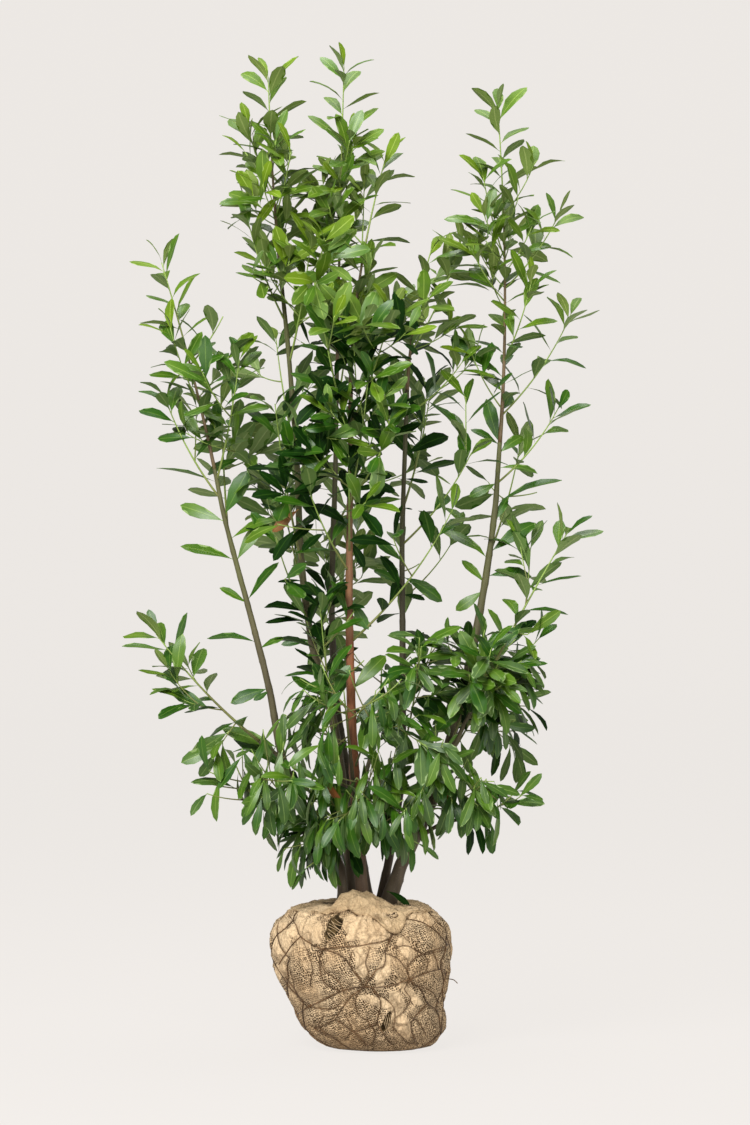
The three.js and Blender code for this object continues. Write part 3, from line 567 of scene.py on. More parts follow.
def hessian(name, pale, thread, gap_and_shade, dirt):
    """Coarse jute: crossed wavy threads with dark gaps, which close where the cloth is doubled and paler.

    Dirt lies where slow noise is high and near the ground, and the lowest 13 mm is darker still. Painted
    shade lies in thin lines along fine folds and crinkles, and stains and painted shade as the mesh carries
    them."""
    f = Finish(name, roughness=0.95, specular_ior_level=0.12)
    around, down = f.uv(0), f.uv(1)
    wander = f.noise(85, 2) - 0.5
    drift = f.noise(34, 2) - 0.5
    across = f.math("SINE", around * (math.pi * 216) + down * (math.pi * 44) + wander * 4 + drift * 11)
    along = f.math("SINE", down * (math.pi * 94) - around * (math.pi * 76) + wander * 4 + drift * 10)
    gap = f.math("MINIMUM", f.size(across), f.size(along))
    mark = f.carried("mark")
    doubled = f.band(mark, 0.2, 0.9)
    slack = f.out("ShaderNodeTexVoronoi", None, {"Vector": f.place(), "Scale": 225.0, "Randomness": 0.9})
    open_share = f.band(f.noise(19, 3), 0.28, 0.6) * 0.55 + 0.45
    hole = f.band(gap * 0.72 + (0.62 - slack) * 0.7 + (f.noise(260, 2, 0.7) - 0.5) * 0.45, 0.34, 0.5)
    hole = hole * open_share * (1 - doubled * 0.85)
    worn = f.noise(26, 5, 0.72, f.stretched(1, 1, 0.4))
    fold = f.size(f.noise(30, 2, 0.5, f.stretched(1, 1, 0.2)) - 0.5)
    line = f.band(fold, 0.02, 0.0)
    crinkle = f.size(f.noise(64, 3, 0.6, f.stretched(1, 1, 0.5)) - 0.5)
    cloth = f.mix(f.band(f.noise(9, 2), 0.35, 0.65), thread, pale)
    cloth = f.mix(doubled * 0.45, cloth, pale)
    cloth = f.mix(f.band(worn, 0.45, 0.8) * 0.45, cloth, dirt)
    height = f.part(f.place(), 2)
    cloth = f.mix(f.band(height, 0.12, 0.0) * 0.45, cloth, dirt)
    cloth = f.mix(f.band(height, 0.013, 0.002) * 0.75, cloth, gap_and_shade)
    cloth = f.mix(f.clamp(hole), cloth, gap_and_shade)
    # Painted shade: thin dark lines in the gap colour along fine folds and crinkles.
    cloth = f.mix(line * 0.3 + f.band(crinkle, 0.02, 0.0) * 0.34, cloth, gap_and_shade)
    grain = f.band(f.noise(380, 3, 0.7, f.stretched(1, 1, 0.6)), 0.5, 0.72)
    cloth = f.mix(grain * 0.3, cloth, dirt)
    # Stain and shade carried by the mesh: painted shade in creases, valleys, rims and under the hem, rust
    # with painted shade along the wires, and the collar's soiled hem and darker underside.
    cloth = f.mix(f.carried("stain") * 0.6, cloth, srgb(72, 47, 20))
    within_tear = f.mix(f.band(f.noise(60, 2), 0.4, 0.6), srgb(46, 36, 20), srgb(98, 80, 52))
    cloth = f.mix(f.band(mark, -0.2, -0.7), cloth, within_tear)
    creases = f.bump(f.clamp(crinkle * 7), 0.8, 0.003, f.bump(f.clamp(fold * 5), 0.6, 0.004))
    f.feed(base_color=cloth, normal=f.bump(hole * -0.5, 0.8, 0.0025, creases))
    return f.material


def soil_finish():
    """Damp crumbs: noise from dark to lighter brown, and raised by it."""
    f = Finish("damp_soil", roughness=1.0)
    crumbs = f.noise(140, 5, 0.7)
    f.feed(base_color=f.mix(crumbs, srgb(38, 27, 18), srgb(92, 70, 48)), normal=f.bump(crumbs, 1.0, 0.004))
    return f.material


def wire_finish():
    """Dark annealed wire with duller, redder rust where noise is high."""
    f = Finish("annealed_wire", metallic=0.2)
    rust = f.noise(45, 3)
    f.feed(base_color=f.mix(f.band(rust, 0.4, 0.65), srgb(76, 54, 30), srgb(112, 80, 46)),
           roughness=f.band(rust, 0.2, 0.8) * 0.3 + 0.45)
    return f.material


def bark_finish(name, foot, trunk, upper):
    """Smooth young bark: colour by height, long streaks and pale pores."""
    f = Finish(name, specular_ior_level=0.35)
    height = f.part(f.place(), 2)
    tone = f.mix(f.band(height, 0.38, 0.62), foot, trunk)
    tone = f.mix(f.band(height + (f.noise(6, 2) - 0.5) * 0.4, 0.85, 1.2), tone, upper)
    streak = f.noise(70, 4, 0.6, f.stretched(1, 1, 0.12))
    pore = f.band(f.noise(420, 2), 0.66, 0.74)
    tone = f.mix(f.band(streak, 0.35, 0.7) * 0.55, tone, srgb(52, 42, 32))
    tone = f.mix(pore * 0.5, tone, srgb(150, 135, 105))
    f.feed(base_color=tone, roughness=streak * 0.3 + 0.5, normal=f.bump(streak + pore * 0.4, 0.6, 0.0015))
    return f.material


def twig_finish(name, young, old):
    """A twig: brown where its mark is 0, green where it is 1."""
    f = Finish(name, roughness=0.5, specular_ior_level=0.35)
    tone = f.mix(f.clamp(f.carried("mark") + (f.noise(30, 3) - 0.5) * 0.5), old, young)
    f.feed(base_color=tone, normal=f.bump(f.noise(300, 2), 0.3, 0.0006))
    return f.material


def blade_finish(name, blade, deep, vein, rough, shine):
    """A leaf's upper side: a paler midrib and foot, faint slanting side veins and blotches, a waxy shine."""
    f = Finish(name, specular_ior_level=shine)
    side = f.size(f.uv(0) - 0.5) * 2
    down = f.uv(1)
    rib = f.band(side, 0.1, 0.02)
    ray = f.size(f.math("SINE", (down * 10 - side * 3.2) * math.pi))
    tone = f.mix(f.band(f.noise(14, 3), 0.3, 0.7), blade, deep)
    tone = f.mix(f.band(ray, 0.22, 0.0) * 0.12, tone, vein)
    tone = f.mix(rib * 0.5, tone, vein)
    tone = f.mix(f.band(down, 0.1, 0.05), tone, vein)
    f.feed(base_color=tone, roughness=f.noise(60, 2) * 0.14 + rough, normal=f.bump(rib * -0.8, 0.1, 0.0008))
    return f.material


def under_finish(name, pale, vein):
    """A leaf's underside: matt and greyer, with a raised midrib."""
    f = Finish(name, roughness=0.6, specular_ior_level=0.12)
    rib = f.band(f.size(f.uv(0) - 0.5) * 2, 0.16, 0.03)
    f.feed(base_color=f.mix(rib * 0.7, pale, vein), normal=f.bump(rib, 0.4, 0.001))
    return f.material


# Root ball

outline_path = spline(BALL_OUTLINE)
outline_way = np.concatenate([[0], np.cumsum(np.linalg.norm(np.diff(outline_path, axis=0), axis=1))])
outline_way /= outline_way[-1]


def share_at(height):
    """The share of the ball's outline at a height."""
    return np.interp(height, outline_path[:, 1], outline_way)


def between_ends(share, width):
    """1 along the outline, eased to 0 within a width of both its ends."""
    return smooth(share / width) * smooth((1 - share) / width)


def shift_at(z):
    """How far to the right the ball's middle lies at a height."""
    return FOOT_SHIFT * np.maximum(0, 1 - np.asarray(z) / SHIFT_TOP) ** 2


def ball_point(angle, share, out=0.0):
    """The wrapped ball: the outline's radius and height at a share, swollen by two slow waves, and out."""
    r, z = (np.interp(share, outline_way, outline_path[:, k]) for k in (0, 1))
    swell = 3 * np.sin(3 * angle + 3.4 + 2.2 * share) + 3 * np.sin(5 * angle + 2 - 5 * share)
    r = r + between_ends(share, 0.08) * swell + out
    x = shift_at(z) + r * np.cos(angle)
    return np.stack([x, r * np.sin(angle), z + out * 0.6 * smooth((share - 0.66) / 0.2)], -1)


def front_place(x, z):
    """Angle and outline share of the place on the ball's front at x and z."""
    share = share_at(z)
    r = np.interp(share, outline_way, outline_path[:, 0])
    return -np.arccos(np.clip((x - shift_at(z)) / r, -0.985, 0.985)), share


def front_thread(heap, way, out, radius):
    """A thread laid on the ball's front along a way of x and z."""
    path, _ = evenly(spline(way), 8)
    path = ball_point(*front_place(path[:, 0], path[:, 1]), out=out)
    heap.tube(path, np.full(9, radius), 5, marks=np.ones(9))


def net_lines():
    """Every wire as angles and outline shares: the front ones as they lie, the rest in uneven diamonds."""
    rng = np.random.RandomState(11)
    lines = []
    t = np.linspace(0, 1, NET_STEPS + 1)
    for way in FRONT_WIRES + FRONT_STRANDS:
        path, _ = evenly(spline(way), NET_STEPS)
        kinks = np.sin(9 * t[:, None] + rng.uniform(0, 6, 2)) * np.sin(np.pi * t)[:, None]
        path = path + 1.6 * kinks
        lines.append(front_place(path[:, 0], path[:, 1]))
    rows = len(NET_LEVELS)
    row = np.arange(rows)[:, None]
    turn = (np.arange(NET_CELLS)[None] + row % 2 / 2) * (2 * np.pi / NET_CELLS) - np.pi / 2
    turn = turn + rng.uniform(-0.1, 0.1, turn.shape)
    inner = (row > 0) & (row < rows - 1)
    height = np.array(NET_LEVELS, float)[:, None] + rng.uniform(-11, 11, turn.shape) * inner
    share = share_at(height)
    for k in range(rows - 1):
        for i in range(NET_CELLS):
            for other in ((i, i - 1) if k % 2 == 0 else (i, i + 1)):
                j = other % NET_CELLS
                a = turn[k, i]
                across = angle_from(turn[k + 1, j], a)
                if math.sin(a + across / 2) > -0.5:
                    bow = rng.uniform(-0.07, 0.07) * np.sin(np.pi * t)
                    bow = bow + rng.uniform(-0.03, 0.03) * np.sin(2 * np.pi * t)
                    lines.append((a + across * t + bow, share[k, i] + (share[k + 1, j] - share[k, i]) * t))
    return lines


def net_places(net):
    """Points on the ball along all the wires, three to each step."""
    at = np.linspace(0, NET_STEPS, 3 * NET_STEPS + 1)
    last = np.minimum(at.astype(int), NET_STEPS - 1)
    finer = net[..., last] + (net[..., last + 1] - net[..., last]) * (at - last)
    return ball_point(finer[:, 0], finer[:, 1]).reshape(-1, 3)


NET = np.array(net_lines())
WIRE_PLACES = net_places(NET)


def way_to_wire(p):
    """How far each point is from the nearest wire, in lots of about 4000, by the square of a difference."""
    square = (WIRE_PLACES ** 2).sum(1)
    lots = [((q ** 2).sum(1)[:, None] + square - 2 * q @ WIRE_PLACES.T).min(1)
            for q in np.array_split(p, max(1, len(p) // 4000))]
    return np.sqrt(np.maximum(np.concatenate(lots), 0))


def collar_rise(a):
    """How tall the collar is, 0 to 1: a hump left of the middle in front, falling slowly to the right."""
    off = angle_from(a, -1.8)
    return np.where(off < 0, np.exp(-(off / 0.36) ** 4), np.exp(-(np.abs(off) / 0.74) ** 3))


def hem_place(a, out=4.0):
    """The collar's hem by angle: a line on the ball, lower in one lobe and wavy where the collar is tall."""
    waves = 4 * np.sin(5 * a + 1) + 3 * np.sin(11 * a) + 2 * np.sin(23 * a + 2)
    height = 303 - 36 * bell(angle_from(a, -1.21), 0.18) - waves * collar_rise(a)
    return ball_point(a, share_at(height), out)


HEM = hem_place(np.linspace(-2.45, -0.45, 90))


def seen_from_front(p):
    """Where the ball's features are: x and z, mirrored behind, and how fully they show, 0 at the sides."""
    x = np.where(p[..., 1] < 0, p[..., 0], 12 - p[..., 0])
    return x, p[..., 2], smooth(np.abs(p[..., 1]) / 26)


def oval(x, z, middle_x, middle_z, wide, high, tilt):
    """Places in a tilted oval's own frame, and 1 at its middle, 0 on its rim and less outside."""
    dx, dz = x - middle_x, z - middle_z
    dx, dz = dx * math.cos(tilt) + dz * math.sin(tilt), dz * math.cos(tilt) - dx * math.sin(tilt)
    return dx, dz, 1 - (dx / wide) ** 2 - (dz / high) ** 2


def cloth_relief(p):
    """How far the cloth stands out, its mark (1 doubled, 0 open weave, -1 torn) and how much it is darkened.

    The sum of a bulge between the wires and a pinch at each; creases where smooth noise is near 0; valleys
    that run out from each knot; and patches of doubled cloth as low domes with a step at the rim and valleys
    that fan out from where they are gathered. The darkening is painted shade along the creases, valleys and
    rims and under the hem, and rust with painted shade along the wires."""
    flat = p.reshape(-1, 3)
    near = way_to_wire(flat).reshape(p.shape[:2])
    hem = np.sqrt(((flat[:, None] - HEM) ** 2).sum(-1).min(1)).reshape(near.shape)
    x, z, full = seen_from_front(p)
    noise = ripple(p, 34, 2)
    crease = np.abs(ripple(p * (1, 1, 0.45), 60, 5))
    fine = np.abs(ripple(p * (1, 1, 0.7), 24, 8))
    out = PINCH * smooth(near / 22) - 3.6
    out += 1.9 * bell(crease, 0.1) * smooth(near / 12) + 1.1 * bell(fine, 0.1) * smooth(near / 8)
    # Painted shade along the creases.
    stain = 0.42 * bell(crease - 0.13, 0.035) * smooth(0.5 + noise)
    for knot_x, knot_z, rays in KNOTS:
        dx, dz = x - knot_x, z - knot_z
        far = np.hypot(dx, dz)
        valley = bell(np.sin(rays * np.arctan2(dz, dx) / 2 + 0.8 * noise), 0.34) * bell(far, 46)
        valley = valley * full * smooth(far / 9)
        out -= 3.8 * valley
        # Painted shade in the valleys round each knot.
        stain = np.maximum(stain, 0.8 * valley)
    mark = np.zeros_like(near)
    for *place, high, tilt, lift, folds in PATCHES:
        dx, dz, inside = oval(x, z, *place, high, tilt)
        inside = (inside + 0.3 * noise + 0.25 * (crease - 0.6)) * full - (1 - full)
        out += (1.1 * smooth(inside / 0.16) + 0.22 * lift * smooth(inside * 1.3)) * smooth(near / 9)
        if folds:
            valley = bell(np.sin(folds * np.arctan2(dx, high * 1.5 - dz) + 0.8 * noise), 0.32)
            out -= 3.8 * valley * smooth(inside * 2) * smooth(near / 9)
            # Painted shade in the fan's valleys.
            stain = np.maximum(stain, 0.7 * valley * smooth(inside * 2.5))
        mark = np.maximum(mark, smooth(0.5 + inside / 0.5))
        # Painted shadow along each patch's rim.
        stain = np.maximum(stain, 0.36 * bell(inside, 0.08) * smooth(near / 5))
    shown = full * (p[..., 1] < 0)
    for tear in TEARS:
        inside = (oval(x, z, *tear)[2] + 0.2 * noise) * shown - (1 - shown)
        out += 2 * bell(inside + 0.25, 0.3) * full - 13 * smooth(inside * 1.4)
        mark = np.where(inside > 0, -smooth(inside / 0.3), mark)
    out -= 3.2 * bell(hem, 5)
    # Along the wires rust and painted shade, and a painted shadow under the hem.
    return out, mark, np.maximum(stain, np.maximum(bell(near, 2.0), 1.3 * bell(hem, 4.0)))


def dress_cloth():
    """The wrap, with its folds, doubled patches and tears."""
    share, angle = np.meshgrid(np.linspace(0, 1, CLOTH_ROWS + 1), round_about(CLOTH_COLUMNS) + np.pi / 2,
                               indexing="ij")
    out, mark, stain = cloth_relief(ball_point(angle, share))
    heap = Heap()
    heap.grid(ball_point(angle, share, out * between_ends(share, 0.05)), mark=mark)
    heap.piece("hessian_cloth", [WEAVE], nodes=["hessian_wrap"], slot="hessian", stain=stain.ravel())


def dress_wires():
    """The net that cuts into the wrap, twisted together at some joints, and one loose end."""
    heap = Heap()
    angle, share = NET[:, 0], NET[:, 1]
    lie = cloth_relief(ball_point(angle, share))[0] * between_ends(share, 0.05) + 1.5
    for n, path in enumerate(ball_point(angle, share, lie)):
        thin = len(FRONT_WIRES) <= n < len(FRONT_WIRES) + len(FRONT_STRANDS)
        heap.tube(path + (0, 0 if thin else -0.5, 0), np.full(NET_STEPS + 1, STRAND if thin else WIRE), 6)
    twist = np.linspace(0, 1, 30)
    for x, z, tilt in TWISTS:
        middle = ball_point(*front_place(x, z), out=1.5)
        for phase in (0, math.pi):
            spin = twist * 14 + phase
            along, across = (twist - 0.5) * 20, 1.4 * np.sin(spin)
            path = np.stack([along * math.cos(tilt) - across * math.sin(tilt), -1.5 + 1.4 * np.cos(spin),
                             along * math.sin(tilt) + across * math.cos(tilt)], -1)
            heap.tube(middle + path, np.full(30, 1.0), 6)
    end, _ = evenly(spline([(186, -30, 152), (198, -34, 150), (206, -38, 143)]), 10)
    heap.tube(end, np.full(11, 1.1), 6)
    heap.piece("wire_basket", [METAL], nodes=["wire_net"], slot="wire")


def dress_soil():
    """The top of the soil inside the collar: a disc, uneven by smooth noise, with a skirt that goes down."""
    radius, around = np.meshgrid(np.linspace(0, 1, 26)[1:], round_about(90), indexing="ij")
    flat = np.full(radius.shape, SOIL_TOP - 2.0)
    top = np.stack([radius * 86 * np.cos(around), radius * 86 * np.sin(around), flat], -1)
    top[..., 2] += 5 * ripple(top, 24, 3) * (1 - radius ** 4)
    low = top[-1] * (1, 1, 0) + (0, 0, SOIL_TOP - 26)
    heap = Heap()
    heap.grid(np.concatenate([low[None], top[::-1]]))
    heap.piece("soil_top", [EARTH], nodes=["soil"], slot="soil")


def dress_threads():
    """Loose threads: across the upper tear, down the lower one, and frayed out of the collar's hem."""
    heap = Heap()
    rng = np.random.RandomState(3)
    for s in np.linspace(-26, 16, 9):
        half = 15 * math.sqrt(1 - (s / 30) ** 2) + 4
        lean = rng.uniform(-9, 9)
        ways = ((-half, s - lean), (rng.uniform(-5, 5), s + rng.uniform(-5, 5)), (half, s + lean))
        way = [(-62 + 0.85 * c + 0.52 * e, 279 - 0.52 * c + 0.85 * e) for c, e in ways]
        front_thread(heap, way, -0.5 - 3 * np.sin(np.linspace(0, np.pi, 9)), 0.65)
    for k in range(5):
        front_thread(heap, [(40 + 5 * k, 94 - k), (46 + 4 * k, 74), (52 + 2 * k, 52 + k)], -2.0, 0.7)
    for a in rng.uniform(-2.5, -0.4, 110):
        foot = hem_place(a, 3.0) + (0, 0, 3)
        tip = foot + rng.normal(0, 4, 3) + (4 * math.cos(a), 4 * math.sin(a), rng.uniform(-9, 2))
        path, _ = evenly(spline([foot, (foot + tip) / 2 + rng.normal(0, 1.8, 3), tip]), 6)
        heap.tube(path, np.linspace(0.55, 0.35, 7), 4, marks=np.ones(7))
    heap.piece("loose_threads", [PALE], slot="hessian")


def dress_collar():
    """The gathered edge round the stems: a doubled sheet with pleats that run down it and small creases.

    Its section, from the stems outwards, goes from a low roll at the back to a tall flap laid over the
    shoulder in front, and ends on the hem. Pleats are one minus twice the size of a sine to the power 0.7."""
    a = round_about(COLLAR_TURNS)[:, None]
    low, front = (evenly(spline(points), COLLAR_STEPS)[0] for points in (COLLAR_LOW, COLLAR_FRONT))
    rise = collar_rise(a)
    wave = 2.5 * np.sin(4 * a + 0.8) + 1.5 * np.sin(9 * a)
    section = low + (front - low) * rise[..., None] + np.stack([wave, 0.6 * wave], -1)
    v = np.linspace(0, 1, COLLAR_STEPS + 1)
    hem = hem_place(a)
    hem = np.stack([np.hypot(hem[..., 0], hem[..., 1]), hem[..., 2]], -1)
    section = section + (hem - section[:, -1:]) * v[None, :, None] ** 3
    slope = unit(np.gradient(section, axis=1))
    p = np.stack([section[..., 0] * np.cos(a), section[..., 0] * np.sin(a), section[..., 1]], -1)
    fold = ripple(p, 38, 21)
    fine = bell(ripple(p * (1, 1, 0.6), 17, 22), 0.2)
    pleat = 1 - 2 * np.abs(np.sin(9 * a + 1.4 * fold)) ** 0.7
    relief = (3.0 * fold + 1.2 * fine + 3.2 * pleat * (0.5 + 0.5 * v)) * smooth(v / 0.1)
    push = 4.2 * smooth((v - 0.8) / 0.12) * rise + relief * (0.35 + 0.65 * rise)
    top = (section[..., 0] - slope[..., 1] * push, section[..., 1] + slope[..., 0] * push)
    r, z = (np.concatenate([upper, (upper - thick)[:, ::-1]], 1) for upper, thick in zip(top, COLLAR_THICK))
    ring = np.stack([r * np.cos(a), r * np.sin(a), z], -1)
    ring = np.concatenate([ring, ring[:1]])
    heap = Heap()
    heap.grid(ring, ends=False, mark=np.ones(ring.shape[:2]))
    # Darker towards the hem, where it is soiled, and all over the underside.
    dirt = smooth((v - 0.82) / 0.16) * rise * smooth(0.6 + fold)
    dirt = np.concatenate([dirt, np.ones_like(dirt)], 1)
    heap.piece("gathered_collar", [PALE], slot="hessian", stain=np.concatenate([dirt, dirt[:1]]).ravel())


# Limbs

limbs = {}


def grow_limb(heap, name, points, r0, r1, flare, sides):
    """A tapering limb: its radius falls by share to the power 0.8 and swells at the foot.

    A ring stands out at each old leaf scar, and the bark is uneven by smooth noise."""
    steps = max(8, int(np.linalg.norm(np.subtract(points[-1], points[0])) / 7))
    path, length = evenly(spline(points), steps)
    share = np.linspace(0, 1, len(path))
    way = share * length
    radii = (r0 + (r1 - r0) * share ** 0.8) * (1 + flare * np.exp(-way / 35))
    limbs[name] = (path, radii)
    scar = 1 + 0.09 * bell((way + 17 * len(name)) % 62 - 31, 4.5)
    rings = tube_rings(path, radii * scar, sides)
    uneven = ripple(rings * (1, 1, 0.3), 26, 40) * 0.05 * radii[:, None]
    heap.grid(rings + uneven[..., None] * unit(rings - path[:, None]), v=(0, length / 1000))


def on_limb(name, height):
    """The point of a limb at a height."""
    path, _ = limbs[name]
    i = int(np.clip(np.searchsorted(path[:, 2], height), 1, len(path) - 1))
    t = (height - path[i - 1, 2]) / (path[i, 2] - path[i - 1, 2])
    return path[i - 1] + t * (path[i] - path[i - 1])


def grow_limbs():
    """One piece for each stem, and one for all the boughs."""
    for name, (r0, r1, way) in STEMS.items():
        points = [(x, y, z or SOIL_TOP - 6) for x, y, z in way]
        heap = Heap()
        grow_limb(heap, name, points, r0, r1, 0.3, 20)
        bark = {"centre": RUSSET, "centre_right": DARK_BARK, "back": DARK_BARK}.get(name, BARK)
        heap.piece("bark_" + name, [bark], nodes=["stem_" + name], slot="bark")
    heap = Heap()
    for name, (stem, height, way, end, r0, r1) in BOUGHS.items():
        grow_limb(heap, name, [on_limb(stem, height), way, end], r0, r1, 0.25, 14)
    heap.piece("bark_boughs", [BARK], nodes=["bough_" + name for name in BOUGHS], slot="bark")


# Shoots and leaves

def shoot_path(start, tip, lead=None):
    """A bent line: straight on from its limb's end, or bowed out and then up from a limb's side."""
    reach = tip - start
    length = np.linalg.norm(reach)
    if lead is not None:
        bend = start + lead * length * 0.45
    else:
        bend = (start + tip) / 2 + np.array((reach[0] * 0.14, reach[1] * 0.14, -0.05 * length))
    t = np.linspace(0, 1, 60)[:, None]
    return evenly((1 - t) ** 2 * start + 2 * t * (1 - t) * bend + t * t * tip, SHOOT_STEPS)


def sideways(axis, turn, spread):
    """A direction round an axis, leaning away from it."""
    level = unit(np.array((axis[1], -axis[0], 0.001)))
    other = np.cross(axis, level)
    return axis * math.cos(spread) + (level * math.cos(turn) + other * math.sin(turn)) * math.sin(spread)


def at_share(path, share):
    """The point at a share of a path."""
    i = share * (len(path) - 1)
    k = min(int(i), len(path) - 2)
    return path[k] + (path[k + 1] - path[k]) * (i - k)


def heading_at(path, share, reach=0.1):
    """The heading of a path near a share."""
    return unit(at_share(path, min(1, share + reach)) - at_share(path, share - reach))


def within(points):
    """Whether points lie in the space of the crown."""
    left, right, deep = (np.interp(points[:, 2], REACH[:, 0], REACH[:, k]) for k in (1, 2, 3))
    return bool(((points[:, 0] > left) & (points[:, 0] < right) & (np.abs(points[:, 1]) < deep)).all())


def mass_shoots(index, mass):
    """The source's shoots of a mass: path, length, bare share at the foot and radius there."""
    on, height, tip, forced, count = mass[:5]
    draw = stream(index + 1)
    for _ in range(4):
        next(draw)
    path, radii = limbs[on]
    at_end = height is None
    lead = unit(path[-1] - path[-2]) if at_end else None
    start = path[-1] if at_end else on_limb(on, height)
    main, length = shoot_path(start, np.array(tip, float), lead)
    shoots = [(main, length, 0.08 if at_end else 0.2, radii[-1] if at_end else 1.7 + 0.004 * length)]
    for share, *end in forced:
        side, long = shoot_path(at_share(main, share), np.array(end, float))
        shoots.append((side, long, 0.12, 1.4 + 0.003 * long))
    for k in range(count):
        share = 0.34 + 0.4 * (k + next(draw)) / count
        turn = 2.4 * k + 6.28 * next(draw)
        long = (1 - share) * length * (0.5 + 0.35 * next(draw)) + 55
        begin = at_share(main, share)
        side, long = shoot_path(begin, begin + sideways(heading_at(main, share), turn, 0.85) * long)
        if within(side):
            shoots.append((side, long, 0.15, 1.4 + 0.003 * long))
    return shoots


def fine_shoots(rng, shoots, lush):
    """The finer twigs of the visual model on a mass's shoots, none of them in an opening."""
    fine = []
    for path, length, *_ in shoots:
        for _ in range(int(lush * length / FINE_EVERY + rng.uniform())):
            share = rng.uniform(0.22, 0.7)
            long = rng.uniform(70, 130)
            begin = at_share(path, share)
            aim = sideways(heading_at(path, share), rng.uniform(0, 6.28), rng.uniform(0.6, 1.0))
            side, long = shoot_path(begin, begin + aim * long)
            clear = not (open_at(side[len(side) // 2]) or open_at(side[-1]))
            if within(side) and begin[2] < FINE_TOP and clear:
                fine.append((side, long, 0.2, 1.4))
    return fine


def open_at(p):
    """Whether a point lies in one of the openings seen from the front."""
    openings = OPENINGS + NEAR_OPENINGS if p[1] < NEAR_SIDE else OPENINGS
    return any(((p[0] - x) / wide) ** 2 + ((p[2] - z) / high) ** 2 < 1 for x, z, wide, high in openings)


def set_leaf(leaves, foot, aim, face, *rest):
    """Adds a leaf as foot, aim, upper side square to it, size, number from the tip, kind, droop and luck."""
    leaves.append((foot, aim, unit(face - aim * (face @ aim)), *rest))


def leaf_shoot(rng, leaves, shoot, name, droop, leader):
    """Sets leaves along a shoot from its tip back, each a golden angle on, and says where the last one is.

    Their spread grows from the tip back, and they turn their upper sides to the light and the front."""
    path, length, bare, _ = shoot
    turn = rng.uniform(0, 6.28)
    s, k, last = length - 1, 0, 0
    while s > length * bare + 8:
        share = s / length
        axis = heading_at(path, share, 0.05)
        spread = 0.4 if k == 0 else 0.56 + 0.42 * smooth(k / 10) + rng.uniform(-0.14, 0.14)
        aim = sideways(axis, turn + GOLDEN * k + rng.uniform(-0.3, 0.3) * (1 + 2 * droop), spread)
        aim[2] -= droop * rng.uniform(0.1, 2.4)
        aim = unit(aim)
        forward = 0.6 * float(smooth(path[-1, 1] / 300 + 0.4)) - 0.35
        face = axis * 0.7 + UP * 0.5 + (0, forward, 0) + rng.normal(0, 0.27, 3)
        size = (0.72, 0.86, 0.95, 1.0)[min(k, 3)] * rng.uniform(0.84, 1.12)
        foot = at_share(path, share)
        long = size * LEAF_LENGTH
        if within((foot + aim * long * 0.9)[None]) and not open_at(foot + aim * long * 0.5):
            set_leaf(leaves, foot, aim, face, size, k, name, droop, rng.uniform())
            last = max(last, s)
        close = 0.45 + 0.4 * min(1, droop) if k < 4 else 0.78 if leader else 1
        s -= LEAF_GAP * close * rng.uniform(0.8, 1.25)
        k += 1
    return last


def twig_tube(twigs, shoot, end, leader):
    """The twig of a shoot as far as an end: thinner by share to the power 0.8, green where young and high."""
    path, length, _, r0 = shoot
    steps = max(4, int(end / 16))
    line, _ = evenly(path[:int(math.ceil(end / length * (len(path) - 1))) + 1], steps)
    share = np.linspace(0, end / length, steps + 1)
    green = 0.35 + 0.65 * smooth(share * 1.4 + (line[:, 2] - 1100) / 900)
    if leader:
        green = smooth((share - 0.45) / 0.4)
    twigs.tube(line, r0 + (1.1 - r0) * share ** 0.8, 7, marks=green)


def grow_crown():
    """Twigs as one piece, and all the leaves as rows, to be dealt out by tone."""
    twigs = Heap()
    leaves = []
    for index, (name, mass) in enumerate(MASSES.items()):
        rng = np.random.RandomState(SEED + index)
        shoots = mass_shoots(index, mass)
        droop, lush = mass[5:]
        tall = name.startswith("leader")
        fine = fine_shoots(rng, shoots[:1] if tall else shoots, lush)
        for n, shoot in enumerate(shoots + fine):
            leader = n == 0 and mass[1] is None and tall
            last = leaf_shoot(rng, leaves, shoot, name, droop, leader)
            end = max(last, 0.72 * shoot[1]) if n < len(shoots) else last
            if end:
                twig_tube(twigs, shoot, end, leader)
    for stem, rows in STEM_LEAVES:
        for height, x, z, turned in rows:
            foot = on_limb(stem, height)
            aim = np.array((x, foot[1] + rng.uniform(-25, 5), z + 14)) - foot
            length = np.linalg.norm(aim)
            face = UP + (0, -turned, 0)
            size = length / LEAF_LENGTH * 1.04
            set_leaf(leaves, foot, aim / length, face, size, 5, "stem", 0.2, rng.uniform())
    for stem, height, x, z in TURNING_LEAVES:
        foot = on_limb(stem, height) + (0, -14, 0)
        aim = unit(np.array((x, foot[1] - 30, z)) - foot)
        set_leaf(leaves, foot, aim, np.cross(aim, (0.9, 0.2, 0.3)), 0.8, 5, "turning", 0.3, 1.0)
    foot, aim, face = np.array(FALLEN_LEAF)
    set_leaf(leaves, foot, unit(aim), face, 0.66, 5, "fallen", 0, 0.1)
    twigs.piece("leafy_twigs", [TWIG], slot="foliage")
    return leaves


def cells(g):
    """The four corners of each cell of a grid."""
    return np.stack([g[:-1, :-1], g[:-1, 1:], g[1:, 1:], g[1:, :-1]], 2)


